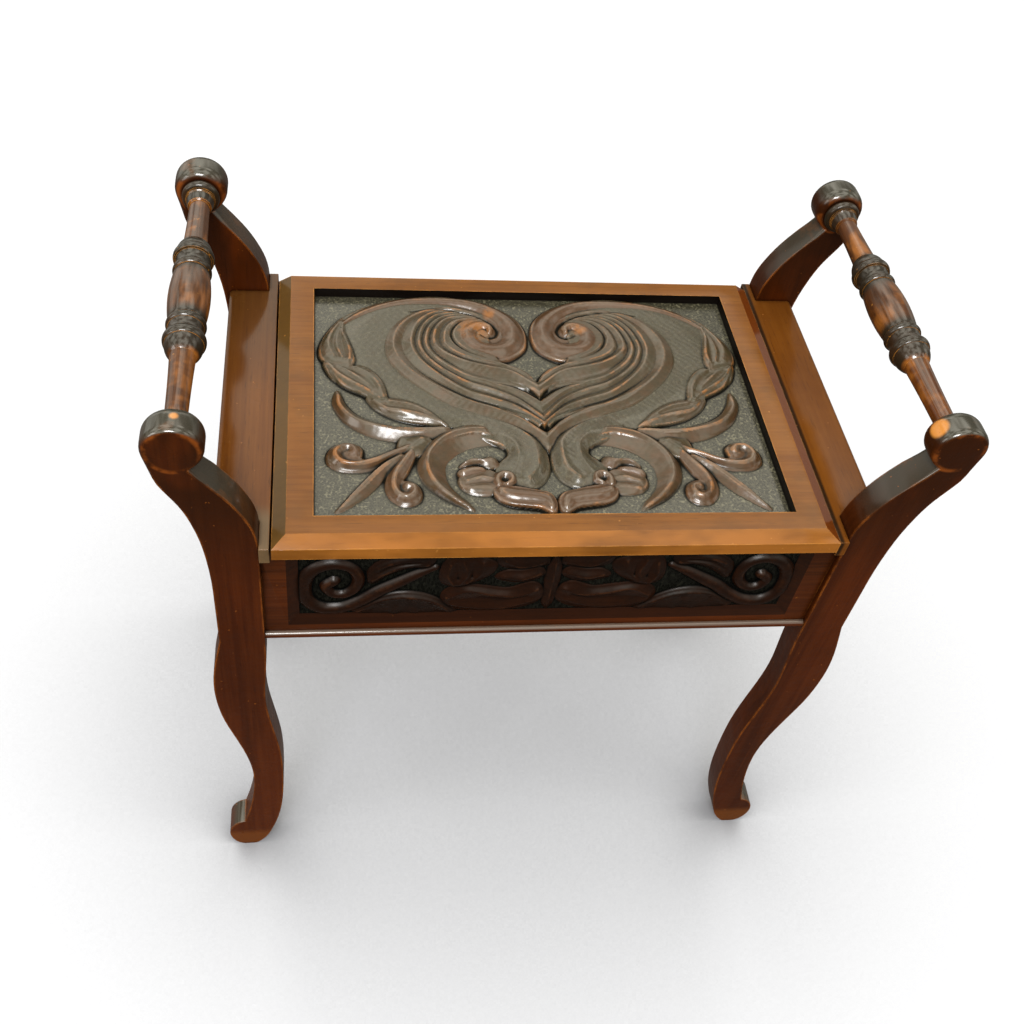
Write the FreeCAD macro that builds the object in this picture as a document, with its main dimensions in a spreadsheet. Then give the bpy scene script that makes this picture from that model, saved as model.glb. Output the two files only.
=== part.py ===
import FreeCAD, Part
import math
import os
import re

import Sketcher

# A piano stool: four sawn scroll legs of one-inch board, two turned handrails, a shallow
# music box between the legs and a carved lid that lifts on two brass butt hinges.
# X runs left to right, Y front to back, Z up; the origin is on the floor under the middle.

SIZES = (
    ("overall_depth", 330.0, "lid front edge to the back faces of the rear legs"),
    ("lid_overhang", 6.0, "lid front edge beyond the faces of the front legs"),
    ("lid_height", 504.0, "top of the lid above the floor"),
    ("lid_back_margin", 14.5, "lid's back edge to the back faces of the rear legs"),
    ("lid_thickness", 17.6, "lid board"),
    ("lid_bevel_width", 10.5, "slope on the lid's front and sides, in plan"),
    ("lid_bevel_drop", 6.2, "slope on the lid's front and sides, in height"),
    ("lid_side_border", 20.5, "flat border left at each side of the sunk carving"),
    ("lid_front_border", 17.5, "flat border in front of the sunk carving"),
    ("lid_back_border", 17.3, "flat border behind the sunk carving"),
    ("lid_carving_depth", 9.0, "depth of the sunk ground of the carving"),
    ("carving_arc_fit", 1.5, "how closely arcs follow the carving's smooth outlines"),
    ("lid_seat_gap", 0.2, "shut lid above the rails"),
    ("lid_side_gap", 1.5, "lid edge to the seat board beside it"),
    ("box_width", 461.0, "between the inner faces of the left and right legs"),
    ("leg_thickness", 25.4, "leg board"),
    ("leg_width", 36.7, "leg at the box, inner face to outer edge"),
    ("arm_reach", 51.8, "leg's inner face out to the centre of its volute"),
    ("arm_rise", 99.0, "seat board's top up to a volute's centre"),
    ("volute_radius", 22.0, "rolled end of an arm"),
    ("volute_closing", 1.2, "how much smaller the roll's radius is on its way to the crease"),
    ("rail_height", 113.2, "front and back rail, down to the leg's knee"),
    ("front_rail_setback", 5.5, "carved front rail behind the leg faces"),
    ("front_rail_thickness", 20.0, "carved front rail"),
    ("back_rail_thickness", 24.0, "back rail, flush with the rear leg faces"),
    ("side_rail_thickness", 20.0, "side rail between the front and rear leg"),
    ("front_end_border", 19.0, "flat border at each end of the front rail"),
    ("front_lower_border", 14.0, "flat border below the front rail's sunk panel"),
    ("front_upper_border", 8.0, "flat border above the front rail's sunk panel"),
    ("front_bevel", 9.0, "slope round the front rail's sunk panel"),
    ("front_carving_depth", 5.0, "depth of the front rail's sunk panel"),
    ("bead_height", 7.0, "half-round bead along the front rail's foot"),
    ("bead_flat", 1.0, "straight part of the bead's section"),
    ("board_drop", 9.0, "seat board below the lid's top"),
    ("board_thickness", 16.0, "seat board"),
    ("strip_width", 8.0, "seat board inside the inner faces of the legs"),
    ("board_ledge", 35.0, "seat board beyond the inner faces of the legs"),
    ("board_nose", 3.2, "seat board strip past the front leg's face"),
    ("board_round", 4.0, "rounding along the seat board's outer edge"),
    ("bottom_thickness", 6.0, "bottom board of the music box"),
    ("bottom_gap", 0.5, "bottom board to the rails around it"),
    ("bearer_size", 12.0, "square bearers that the bottom board lies on"),
    ("dowel_radius", 4.5, "beech dowel"),
    ("dowel_length", 36.0, "beech dowel, half in each piece"),
    ("dowel_gap", 0.05, "dowel in its bore"),
    ("tenon_radius", 9.0, "round tenon on a handrail's end"),
    ("tenon_length", 14.0, "round tenon on a handrail's end"),
    ("tenon_gap", 0.1, "tenon in its blind bore"),
    ("handrail_radius", 16.0, "handrail's barrel"),
    ("hinge_inset", 90.5, "back rail's end to the middle of a hinge"),
    ("hinge_length", 50.0, "butt hinge along its pin"),
    ("hinge_leaf_width", 12.5, "hinge leaf, from the pin"),
    ("hinge_leaf_thickness", 1.5, "hinge leaf, let in flush"),
    ("knuckle_radius", 3.0, "outside of a hinge knuckle"),
    ("knuckle_gap", 0.2, "between neighbouring knuckles"),
    ("knuckle_clearance", 0.3, "knuckle to the lid's edge and to its groove"),
    ("pin_radius", 1.5, "hinge pin"),
    ("pin_gap", 0.05, "hinge pin in its knuckles"),
    ("screw_head_radius", 2.7, "countersunk head of a hinge screw"),
    ("screw_shank_radius", 1.4, "shank of a hinge screw"),
    ("screw_length", 12.0, "hinge screw, head included"),
    ("screw_spacing", 17.0, "between the screws of a leaf"),
    ("screw_gap", 0.05, "screw in its hole"),
    ("cut_overrun", 2.0, "how far a cutting tool runs past what it cuts"),
)

# Places and sizes that follow from the driving ones, in the words of the table above.
PLACES = {
    "leg_face": "lid_overhang - overall_depth / 2",
    "front_leg_back": "leg_face + leg_thickness",
    "rear_leg_front": "overall_depth / 2 - leg_thickness",
    "handrail_half": "(rear_leg_front - front_leg_back) / 2",
    "handrail_middle": "(rear_leg_front + front_leg_back) / 2",
    "lid_underside": "lid_height - lid_thickness",
    "lid_back": "overall_depth / 2 - lid_back_margin",
    "lid_depth": "overall_depth - lid_back_margin",
    "lid_width": "box_width - 2 * strip_width - 2 * lid_side_gap",
    "rail_top": "lid_underside - lid_seat_gap",
    "rail_bottom": "rail_top - rail_height",
    "hinge_spread": "box_width - 2 * hinge_inset",
    "volute_reach": "box_width / 2 + arm_reach",
    "volute_height": "board_top + arm_rise",
    "board_top": "lid_height - board_drop",
    "board_underside": "board_top - board_thickness",
    "side_rail_height": "board_underside - rail_bottom",
    "front_rail_face": "leg_face + front_rail_setback",
    "front_rail_back": "front_rail_face + front_rail_thickness",
    "back_rail_front": "overall_depth / 2 - back_rail_thickness",
    "box_depth": "back_rail_front - front_rail_back",
    "pin_place": "lid_back + knuckle_clearance + knuckle_radius",
    "pin_height": "rail_top + lid_seat_gap / 2",
    "leaf_edge": "knuckle_radius + knuckle_clearance",
    "side_rail_middle": "box_width / 2 + side_rail_thickness / 2",
}

# Heights of the dowels as shares of their rail, set so that crossing bores miss each other.
CROSS_DOWEL_SHARES = (0.28, 0.76)
SIDE_DOWEL_SHARES = (0.13, 0.52)

doc = FreeCAD.newDocument("piano_stool")
sheet = doc.addObject("Spreadsheet::Sheet", "Size")
for row, (alias, size_value, meaning) in enumerate(SIZES, start=1):
    sheet.set(f"A{row}", meaning)
    sheet.set(f"B{row}", str(size_value))
    sheet.setAlias(f"B{row}", alias)
doc.recompute()
ALIASES = {alias for alias, _, _ in SIZES}


def expand(words):
    """Turn a sum in plain size names into an expression on the sheet's cells."""
    def one_word(match):
        name = match.group()
        if name in PLACES:
            return "(" + expand(PLACES[name]) + ")"
        if name in ALIASES:
            return "Size." + name
        return name
    return re.sub(r"[a-z][a-z_]*", one_word, words)


def bind(thing, **sizes):
    """Bind properties of an object to sums of named sizes; x, y and z are its place."""
    for key, words in sizes.items():
        path = {"x": "Placement.Base.x", "y": "Placement.Base.y", "z": "Placement.Base.z"}.get(key, key)
        thing.setExpression(path, expand(words))
    return thing


def box(name, length, width, height, x="0", y="0", z="0"):
    """A board given by its three sizes and its lowest corner."""
    piece = doc.addObject("Part::Box", name)
    return bind(piece, Length=length, Width=width, Height=height, x=x, y=y, z=z)


ALONG = {
    "x": FreeCAD.Rotation(FreeCAD.Vector(0, 1, 0), 90),
    "y": FreeCAD.Rotation(FreeCAD.Vector(1, 0, 0), -90),
    "z": FreeCAD.Rotation(),
}


def rod(name, axis, radius, length, x, y, z):
    """A cylinder that starts at a point and runs along an axis."""
    piece = doc.addObject("Part::Cylinder", name)
    piece.Placement.Rotation = ALONG[axis]
    return bind(piece, Radius=radius, Height=length, x=x, y=y, z=z)


def cone(name, low_radius, high_radius, height, x, y, z):
    """An upright cone frustum, for a countersink or a screw head."""
    piece = doc.addObject("Part::Cone", name)
    return bind(piece, Radius1=low_radius, Radius2=high_radius, Height=height, x=x, y=y, z=z)


def group(name, pieces):
    """Keep separate solids together as one compound."""
    piece = doc.addObject("Part::Compound", name)
    piece.Links = pieces
    return piece


def fuse(name, pieces):
    """Join overlapping solids into one."""
    piece = doc.addObject("Part::MultiFuse", name)
    piece.Shapes = pieces
    return piece


def cut(name, base, tools):
    """Cut a group of tools out of a solid."""
    piece = doc.addObject("Part::Cut", name)
    piece.Base = base
    piece.Tool = group(name + "_tools", tools)
    return piece


def mirror(name, source):
    """The left-hand twin of a right-hand piece."""
    piece = doc.addObject("Part::Mirroring", name)
    piece.Source = source
    piece.Normal = FreeCAD.Vector(1, 0, 0)
    return piece


def new_body(name, x, y, z):
    """A body whose own origin is put at a place in the stool."""
    return bind(doc.addObject("PartDesign::Body", name), x=x, y=y, z=z)


def new_sketch(body, name, role, offset="0"):
    """A sketch on one of the body's origin planes, lifted off it by a named size."""
    sketch = body.newObject("Sketcher::SketchObject", name)
    plane = next(item for item in body.Origin.OriginFeatures if item.Role == role)
    sketch.AttachmentSupport = [(plane, "")]
    sketch.MapMode = "FlatFace"
    sketch.setExpression("AttachmentOffset.Base.z", expand(offset))
    return sketch


def limit(sketch, kind, places, words):
    """Add a dimension to a sketch and bind it to named sizes."""
    index = sketch.addConstraint(Sketcher.Constraint(kind, *places, 1.0))
    sketch.setExpression(f"Constraints[{index}]", expand(words))


def rectangle(sketch, left, low, width, height):
    """A rectangle; left is its distance from the vertical axis, or None when centred."""
    corner = [FreeCAD.Vector(1, 1), FreeCAD.Vector(2, 1), FreeCAD.Vector(2, 2), FreeCAD.Vector(1, 2)]
    first = sketch.addGeometry([Part.LineSegment(corner[i], corner[(i + 1) % 4]) for i in range(4)])[0]
    base, right, top, side = range(first, first + 4)
    for one, other in ((base, right), (right, top), (top, side), (side, base)):
        sketch.addConstraint(Sketcher.Constraint("Coincident", one, 2, other, 1))
    for line in (top,) if left is None else (base, top):
        sketch.addConstraint(Sketcher.Constraint("Horizontal", line))
    for line in (right, side):
        sketch.addConstraint(Sketcher.Constraint("Vertical", line))
    limit(sketch, "DistanceX", (base, 1, base, 2), width)
    limit(sketch, "DistanceY", (right, 1, right, 2), height)
    if left is None:
        sketch.addConstraint(Sketcher.Constraint("Symmetric", base, 1, base, 2, -2))
    elif left == "0":
        sketch.addConstraint(Sketcher.Constraint("PointOnObject", base, 1, -2))
    else:
        limit(sketch, "DistanceX", (-1, 1, base, 1), left)
    if low == "0":
        sketch.addConstraint(Sketcher.Constraint("PointOnObject", base, 1, -1))
    else:
        limit(sketch, "DistanceY", (-1, 1, base, 1), low)


def circle(sketch, across, up, radius):
    """A circle at positive distances from the sketch's two axes."""
    index = sketch.addGeometry(Part.Circle(FreeCAD.Vector(1, 1), FreeCAD.Vector(0, 0, 1), 1))
    limit(sketch, "Radius", (index,), radius)
    limit(sketch, "DistanceX", (-1, 1, index, 3), across)
    limit(sketch, "DistanceY", (-1, 1, index, 3), up)


def extrude(body, kind, name, sketch, length, reverse=False):
    """A pad or a pocket of a sketch by a named length."""
    feature = body.newObject("PartDesign::" + kind, name)
    feature.Profile = sketch
    feature.Reversed = reverse
    feature.setExpression("Length", expand(length))
    return feature


def loft(body, kind, name, first, last):
    """A straight-sided loft, added or cut, between two sketches."""
    feature = body.newObject("PartDesign::" + kind, name)
    feature.Profile = first
    feature.Sections = [last]
    feature.Ruled = True
    return feature


def both_ends(body, name, features):
    """Repeat features on the other side of the body's middle plane."""
    feature = body.newObject("PartDesign::Mirrored", name)
    feature.Originals = features
    plane = next(item for item in body.Origin.OriginFeatures if item.Role == "YZ_Plane")
    feature.MirrorPlane = (plane, [""])
    body.Tip = feature
    return feature


# Outline of a leg, as shares. Below the knee a point is (share of the leg's width out from
# its inner face, share of the knee's height); above the seat board it is (share of the way
# out to the volute's centre, share of the way up to it).
INNER_LEG_SHARES = (
    (0.03, 0.885), (0.095, 0.759), (-0.025, 0.63), (-0.174, 0.509), (-0.204, 0.389),
    (-0.152, 0.268), (-0.068, 0.196), (0.06, 0.132), (0.21, 0.08), (0.375, 0.038),
    (0.555, 0.012),
)
SOLE_SHARES = ((0.75, 0.0), (0.995, 0.0))
TOE_SHARES = ((1.22, 0.015), (1.34, 0.04), (1.378, 0.068), (1.335, 0.092), (1.22, 0.115))
CREASE_SHARE = (0.927, 0.135)
OUTER_LEG_SHARES = (
    (0.722, 0.225), (0.585, 0.33), (0.567, 0.405), (0.64, 0.472), (0.915, 0.59),
    (1.12, 0.67), (1.235, 0.75), (1.26, 0.81), (1.225, 0.87), (1.115, 0.94),
)
OUTER_ARM_SHARES = ((0.748, -0.15), (0.797, 0.05), (0.884, 0.252), (1.021, 0.455), (1.232, 0.657))
INNER_ARM_SHARES = (
    (0.005, 0.04), (0.03, 0.13), (0.079, 0.222), (0.155, 0.318), (0.33, 0.485), (0.555, 0.645),
)
VOLUTE_CREASE_SHARE = (0.82, 0.808)
VOLUTE_SIDE_ANGLE_SHARE = 0.034
ARM_START_SHARE = 0.05

size = {alias: float(sheet.get(alias)) for alias in ALIASES}


def leg_outline():
    """The closed edge of a right-hand leg, drawn in the XZ plane with its face forward."""
    inner = size["box_width"] / 2
    knee = size["lid_height"] - size["lid_thickness"] - size["lid_seat_gap"] - size["rail_height"]
    seat = size["lid_height"] - size["board_drop"]
    centre = FreeCAD.Vector(inner + size["arm_reach"], 0, seat + size["arm_rise"])
    radius = size["volute_radius"]

    def low(share):
        return FreeCAD.Vector(inner + share[0] * size["leg_width"], 0, share[1] * knee)

    def high(share):
        return FreeCAD.Vector(inner + share[0] * (centre.x - inner), 0, seat + share[1] * (centre.z - seat))

    def curve(points, **ends):
        spline = Part.BSplineCurve()
        spline.interpolate(Points=points, **ends)
        return spline.toShape()

    def straight(start, end):
        return Part.LineSegment(start, end).toShape()

    up = FreeCAD.Vector(0, 0, 1)
    down = FreeCAD.Vector(0, 0, -1)
    knee_inner = FreeCAD.Vector(inner, 0, knee)
    knee_outer = FreeCAD.Vector(inner + size["leg_width"], 0, knee)
    seat_inner = FreeCAD.Vector(inner, 0, seat)
    arm_start = FreeCAD.Vector(knee_outer.x, 0, (knee + seat) / 2 + (seat - knee) * ARM_START_SHARE)
    sole_in, sole_out = (low(share) for share in SOLE_SHARES)
    crease = low(CREASE_SHARE)
    # The arm runs out tangent to the volute, a little below its widest point.
    start_angle = -VOLUTE_SIDE_ANGLE_SHARE * 2 * math.pi
    toward_crease = high(VOLUTE_CREASE_SHARE) - centre
    end_angle = math.atan2(toward_crease.z, toward_crease.x) + 2 * math.pi
    top_angle = (start_angle + end_angle) / 2

    def toward(angle):
        return FreeCAD.Vector(math.cos(angle), 0, math.sin(angle))

    def on_volute(share):
        # Past its top the roll closes in: a smaller arc, tangent to the first one.
        angle = start_angle + (end_angle - start_angle) * share
        if share <= 1 / 2:
            return centre + toward(angle) * radius
        closing = size["volute_closing"]
        return centre + toward(top_angle) * closing + toward(angle) * (radius - closing)

    volute_tangent = FreeCAD.Vector(-math.sin(start_angle), 0, math.cos(start_angle))
    edges = [
        curve([knee_inner] + [low(s) for s in INNER_LEG_SHARES] + [sole_in],
              InitialTangent=down, FinalTangent=FreeCAD.Vector(1, 0, 0)),
        straight(sole_in, sole_out),
        curve([sole_out] + [low(s) for s in TOE_SHARES] + [crease],
              InitialTangent=FreeCAD.Vector(1, 0, 0)),
        curve([crease] + [low(s) for s in OUTER_LEG_SHARES] + [knee_outer],
              FinalTangent=up),
        straight(knee_outer, arm_start),
        curve([arm_start] + [high(s) for s in OUTER_ARM_SHARES] + [on_volute(0)],
              InitialTangent=up, FinalTangent=volute_tangent),
        Part.Arc(on_volute(0), on_volute(1 / 4), on_volute(1 / 2)).toShape(),
        Part.Arc(on_volute(1 / 2), on_volute(3 / 4), on_volute(1)).toShape(),
        curve([on_volute(1)] + [high(s) for s in reversed(INNER_ARM_SHARES)] + [seat_inner],
              FinalTangent=down),
        straight(seat_inner, knee_inner),
    ]
    return Part.Wire(Part.__sortEdges__(edges))


def dowel_bore(name, axis, x, y, z):
    """Half a dowel's length of bore, with its clearance."""
    return rod(name, axis, "dowel_radius + dowel_gap", "dowel_length / 2 + dowel_gap", x, y, z)


def make_leg(name, face, rail_middle, side_joint, bore_side):
    """A right-hand leg: the sawn outline, its tenon bore and its dowel bores."""
    outline = doc.addObject("Part::Feature", name + "_outline")
    outline.Shape = leg_outline()
    bind(outline, y=face)
    board = doc.addObject("Part::Extrusion", name + "_board")
    board.Base = outline
    board.DirMode = "Custom"
    board.Dir = FreeCAD.Vector(0, 1, 0)
    board.Solid = True
    bind(board, LengthFwd="leg_thickness")
    # Bores that enter the face towards the other leg; the front leg's run forward from it.
    back = f"{side_joint} - dowel_length / 2 - dowel_gap" if bore_side < 0 else side_joint
    socket = f"{side_joint} - tenon_length - tenon_gap" if bore_side < 0 else side_joint
    tools = [rod(name + "_socket", "y", "tenon_radius + tenon_gap", "tenon_length + tenon_gap",
                 "volute_reach", socket, "volute_height")]
    for count, share in enumerate(CROSS_DOWEL_SHARES):
        tools.append(dowel_bore(f"{name}_cross_bore_{count}", "x", "box_width / 2", rail_middle,
                                f"rail_bottom + {share} * rail_height"))
    for count, share in enumerate(SIDE_DOWEL_SHARES):
        tools.append(dowel_bore(f"{name}_side_bore_{count}", "y", "side_rail_middle", back,
                                f"rail_bottom + {share} * side_rail_height"))
    return cut(name, board, tools)


FRONT_MIDDLE = "front_rail_face + front_rail_thickness / 2"
BACK_MIDDLE = "overall_depth / 2 - back_rail_thickness / 2"
leg_front_right = make_leg("leg_front_right", "leg_face", FRONT_MIDDLE, "front_leg_back", -1)
leg_rear_right = make_leg("leg_rear_right", "rear_leg_front", BACK_MIDDLE, "rear_leg_front", 1)
mirror("leg_front_left", leg_front_right)
mirror("leg_rear_left", leg_rear_right)

# Turning of a handrail, from its middle outwards: (share of the half length, share of the
# barrel's radius). A step with two points is an arc through the first. Both halves have the
# barrel, beads and shaft; the rear one ends in a ringed neck, the front one in a plain flare.
HANDRAIL_SHARES = (
    ((0.10, 0.967), (0.203, 0.865)),
    ((0.212, 0.835),),
    ((0.234, 0.945), (0.256, 0.835)),
    ((0.295, 0.805), (0.332, 0.865)),
    ((0.336, 0.955),),
    ((0.362, 1.01), (0.388, 0.945)),
    ((0.392, 0.90),),
    ((0.442, 0.82), (0.478, 0.65)),
    ((0.485, 0.60),),
    ((0.66, 0.545), (0.86, 0.51)),
)
REAR_NECK_SHARES = (
    ((0.868, 0.60),),
    ((0.90, 0.665), (0.926, 0.70)),
    ((0.931, 0.75),),
    ((0.944, 0.75),),
    ((0.952, 0.895),),
    ((0.974, 0.965), (0.995, 0.93)),
    ((1.0, 0.89),),
)
FRONT_NECK_SHARES = (
    ((0.93, 0.50),),
    ((0.972, 0.53), (1.0, 0.65)),
)


def handrail_profile():
    """Half the lengthwise section of a handrail: turned outline, tenons and centre line."""
    half = ((size["overall_depth"] - size["lid_overhang"]) / 2 - size["leg_thickness"])
    radius = size["handrail_radius"]

    def place(share, side):
        return FreeCAD.Vector(radius * share[1], side * half * share[0], 0)

    edges = []
    for side, neck in ((1, REAR_NECK_SHARES), (-1, FRONT_NECK_SHARES)):
        start = place((0.0, 1.0), side)
        for step in HANDRAIL_SHARES + neck:
            end = place(step[-1], side)
            if len(step) == 2:
                edges.append(Part.Arc(start, place(step[0], side), end).toShape())
            else:
                edges.append(Part.LineSegment(start, end).toShape())
            start = end
        tip = side * (half + size["tenon_length"])
        corners = [start, FreeCAD.Vector(size["tenon_radius"], side * half, 0),
                   FreeCAD.Vector(size["tenon_radius"], tip, 0), FreeCAD.Vector(0, tip, 0)]
        edges += [Part.LineSegment(a, b).toShape() for a, b in zip(corners, corners[1:])]
    axis = half + size["tenon_length"]
    edges.append(Part.LineSegment(FreeCAD.Vector(0, axis, 0), FreeCAD.Vector(0, -axis, 0)).toShape())
    return Part.Face(Part.Wire(Part.__sortEdges__(edges)))


turning_outline = doc.addObject("Part::Feature", "handrail_outline")
turning_outline.Shape = handrail_profile()
handrail_right = doc.addObject("Part::Revolution", "handrail_right")
handrail_right.Source = turning_outline
handrail_right.Axis = FreeCAD.Vector(0, 1, 0)
handrail_right.Solid = True
bind(turning_outline, x="volute_reach", y="handrail_middle", z="volute_height")
bind(handrail_right, **{"Base.x": "volute_reach", "Base.z": "volute_height"})
mirror("handrail_left", handrail_right)


def make_seat_board():
    """The fixed board beside the lid: a ledge between the legs and a strip past them."""
    body = new_body("seat_board_right", "lid_width / 2 + lid_side_gap", "leg_face - board_nose",
                    "board_underside")
    strip = new_sketch(body, "seat_strip_plan", "XY_Plane")
    rectangle(strip, "0", "0", "strip_width", "overall_depth / 2 - leg_face + board_nose")
    extrude(body, "Pad", "seat_strip", strip, "board_thickness")
    ledge = new_sketch(body, "seat_ledge_plan", "XY_Plane")
    rectangle(ledge, "strip_width", "board_nose + leg_thickness", "board_ledge",
              "rear_leg_front - front_leg_back")
    pad = extrude(body, "Pad", "seat_ledge", ledge, "board_thickness")
    doc.recompute()
    outer = max(vertex.X for vertex in pad.Shape.Vertexes)
    tolerance = size["cut_overrun"] / 1000
    names = [f"Edge{count}" for count, edge in enumerate(pad.Shape.Edges, start=1)
             if all(abs(vertex.X - outer) < tolerance for vertex in edge.Vertexes)
             and abs(edge.Vertexes[0].Y - edge.Vertexes[-1].Y) > tolerance]
    rounding = body.newObject("PartDesign::Fillet", "seat_board_rounding")
    rounding.Base = (pad, names)
    rounding.setExpression("Radius", expand("board_round"))
    return body


mirror("seat_board_left", make_seat_board())


def make_side_rail():
    """The rail under a seat board, dowelled to the legs in front and behind."""
    rail = box("side_rail_board", "side_rail_thickness", "rear_leg_front - front_leg_back",
               "side_rail_height", "box_width / 2", "front_leg_back", "rail_bottom")
    tools = []
    for count, share in enumerate(SIDE_DOWEL_SHARES):
        height = f"rail_bottom + {share} * side_rail_height"
        tools.append(dowel_bore(f"side_rail_bore_front_{count}", "y", "side_rail_middle",
                                "front_leg_back", height))
        tools.append(dowel_bore(f"side_rail_bore_rear_{count}", "y", "side_rail_middle",
                                "rear_leg_front - dowel_length / 2 - dowel_gap", height))
    return cut("side_rail_right", rail, tools)


mirror("side_rail_left", make_side_rail())


def add_end_joints(body, thickness):
    """Cut a cross rail's ends: housings for the seat strips and bores for the dowels."""
    housing = new_sketch(body, body.Name + "_housing_outline", "XZ_Plane", "0 - " + thickness)
    rectangle(housing, "box_width / 2 - strip_width", "side_rail_height", "strip_width",
              "rail_height - side_rail_height")
    notch = extrude(body, "Pocket", body.Name + "_housing", housing, thickness, reverse=True)
    bores = new_sketch(body, body.Name + "_bore_outline", "YZ_Plane", "box_width / 2")
    for share in CROSS_DOWEL_SHARES:
        circle(bores, thickness + " / 2", f"{share} * rail_height", "dowel_radius + dowel_gap")
    bore = extrude(body, "Pocket", body.Name + "_bores", bores, "dowel_length / 2 + dowel_gap")
    both_ends(body, body.Name + "_other_end", [notch, bore])


# Raised forms of the carving's left half: how high each stands as a share of the ground's
# depth, then its outline as smooth runs that meet in corners. A point is (share of the
# ground's half width, share of the way up or back across the ground); a run of one point is
# straight, and the others are followed with tangent arcs.
LID_FORMS = (
    ("back leaf", 0.42, (
        ((-0.232, 0.981), (-0.447, 0.99), (-0.674, 0.955), (-0.842, 0.866), (-0.905, 0.751),
         (-0.832, 0.611), (-0.716, 0.5), (-0.516, 0.407), (-0.305, 0.377)),
        ((-0.189, 0.344), (-0.084, 0.366), (0.026, 0.389)),
        ((0.026, 0.729),),
        ((-0.232, 0.981),),
    )),
    ("outer plume", 0.58, (
        ((-0.295, 0.848), (-0.337, 0.944), (-0.484, 0.94), (-0.6, 0.866), (-0.674, 0.736),
         (-0.6, 0.588), (-0.421, 0.468), (-0.211, 0.392), (-0.068, 0.337), (0.021, 0.263)),
        ((0.021, 0.415),),
        ((-0.211, 0.537), (-0.411, 0.692), (-0.368, 0.818), (-0.295, 0.848)),
    )),
    ("middle plume", 0.72, (
        ((-0.263, 0.84), (-0.379, 0.914), (-0.516, 0.873), (-0.6, 0.744), (-0.5, 0.603),
         (-0.326, 0.498), (-0.116, 0.435), (0.016, 0.359)),
        ((0.016, 0.522),),
        ((-0.158, 0.618), (-0.305, 0.729), (-0.263, 0.84)),
    )),
    ("inner plume", 0.84, (
        ((-0.242, 0.829), (-0.337, 0.885), (-0.442, 0.833), (-0.466, 0.744), (-0.395, 0.662),
         (-0.237, 0.587), (-0.095, 0.557), (0.011, 0.492)),
        ((0.011, 0.559),),
        ((-0.032, 0.603), (-0.137, 0.655), (-0.2, 0.729), (-0.242, 0.829)),
    )),
    ("scroll", 0.9, (
        ((-0.589, 0.944), (-0.368, 0.992), (-0.184, 0.964), (-0.047, 0.888), (-0.004, 0.788),
         (-0.053, 0.698), (-0.158, 0.664), (-0.289, 0.707), (-0.366, 0.788), (-0.305, 0.859),
         (-0.2, 0.851), (-0.174, 0.818), (-0.195, 0.796)),
        ((-0.187, 0.786), (-0.155, 0.822), (-0.189, 0.877), (-0.316, 0.934), (-0.474, 0.925),
         (-0.589, 0.877)),
        ((-0.632, 0.914), (-0.589, 0.944)),
    )),
    ("upper husk", 0.72, (
        ((-0.863, 0.881), (-0.953, 0.788), (-0.968, 0.692)),
        ((-0.9, 0.629),),
        ((-0.832, 0.614),),
        ((-0.842, 0.759), (-0.863, 0.881)),
    )),
    ("middle husk", 0.72, (
        ((-0.955, 0.662), (-0.868, 0.551), (-0.753, 0.496), (-0.689, 0.47)),
        ((-0.695, 0.551), (-0.779, 0.629), (-0.955, 0.662)),
    )),
    ("lower husk", 0.72, (
        ((-0.753, 0.518), (-0.695, 0.433), (-0.442, 0.379)),
        ((-0.505, 0.437), (-0.621, 0.489), (-0.753, 0.518)),
    )),
    ("outer crescent", 0.72, (
        ((-0.897, 0.533), (-0.903, 0.44), (-0.795, 0.352), (-0.605, 0.313), (-0.389, 0.333)),
        ((-0.389, 0.352),),
        ((-0.658, 0.366), (-0.832, 0.433), (-0.897, 0.533)),
    )),
    ("large crescent", 0.78, (
        ((-0.158, 0.337), (-0.274, 0.37), (-0.453, 0.346), (-0.566, 0.229), (-0.516, 0.115),
         (-0.347, 0.037)),
        ((-0.453, 0.141), (-0.447, 0.226), (-0.347, 0.289), (-0.126, 0.285)),
        ((-0.158, 0.337),),
    )),
    ("upper tendril", 0.7, (
        ((-0.505, 0.337), (-0.674, 0.274), (-0.8, 0.241)),
        ((-0.816, 0.291), (-0.895, 0.296), (-0.945, 0.248), (-0.863, 0.192), (-0.705, 0.218),
         (-0.505, 0.292)),
        ((-0.505, 0.337),),
    )),
    ("spear leaf", 0.66, (
        ((-0.495, 0.322), (-0.768, 0.167), (-0.913, 0.033)),
        ((-0.774, 0.1), (-0.663, 0.192), (-0.495, 0.278)),
        ((-0.495, 0.322),),
    )),
    ("lower tendril", 0.7, (
        ((-0.474, 0.3), (-0.595, 0.218), (-0.634, 0.152)),
        ((-0.568, 0.126), (-0.574, 0.074), (-0.647, 0.061), (-0.703, 0.115), (-0.663, 0.211),
         (-0.516, 0.311)),
        ((-0.474, 0.3),),
    )),
    ("stem foot", 0.66, (
        ((0.005, 0.329), (-0.105, 0.355), (-0.242, 0.344)),
        ((-0.179, 0.266), (-0.226, 0.211), (-0.226, 0.159), (-0.116, 0.124), (-0.026, 0.174),
         (-0.008, 0.27)),
        ((0.005, 0.329),),
    )),
    ("foot lobe", 0.9, (
        ((-0.255, 0.133), (-0.247, 0.081), (-0.137, 0.059), (-0.063, 0.044), (-0.016, 0.026)),
        ((-0.006, 0.07), (-0.095, 0.111), (-0.255, 0.133)),
    )),
    ("curled leaf", 0.6, (
        ((-0.416, 0.196), (-0.326, 0.241), (-0.279, 0.2), (-0.3, 0.13), (-0.358, 0.111),
         (-0.421, 0.159), (-0.416, 0.196)),
    )),
)
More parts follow.
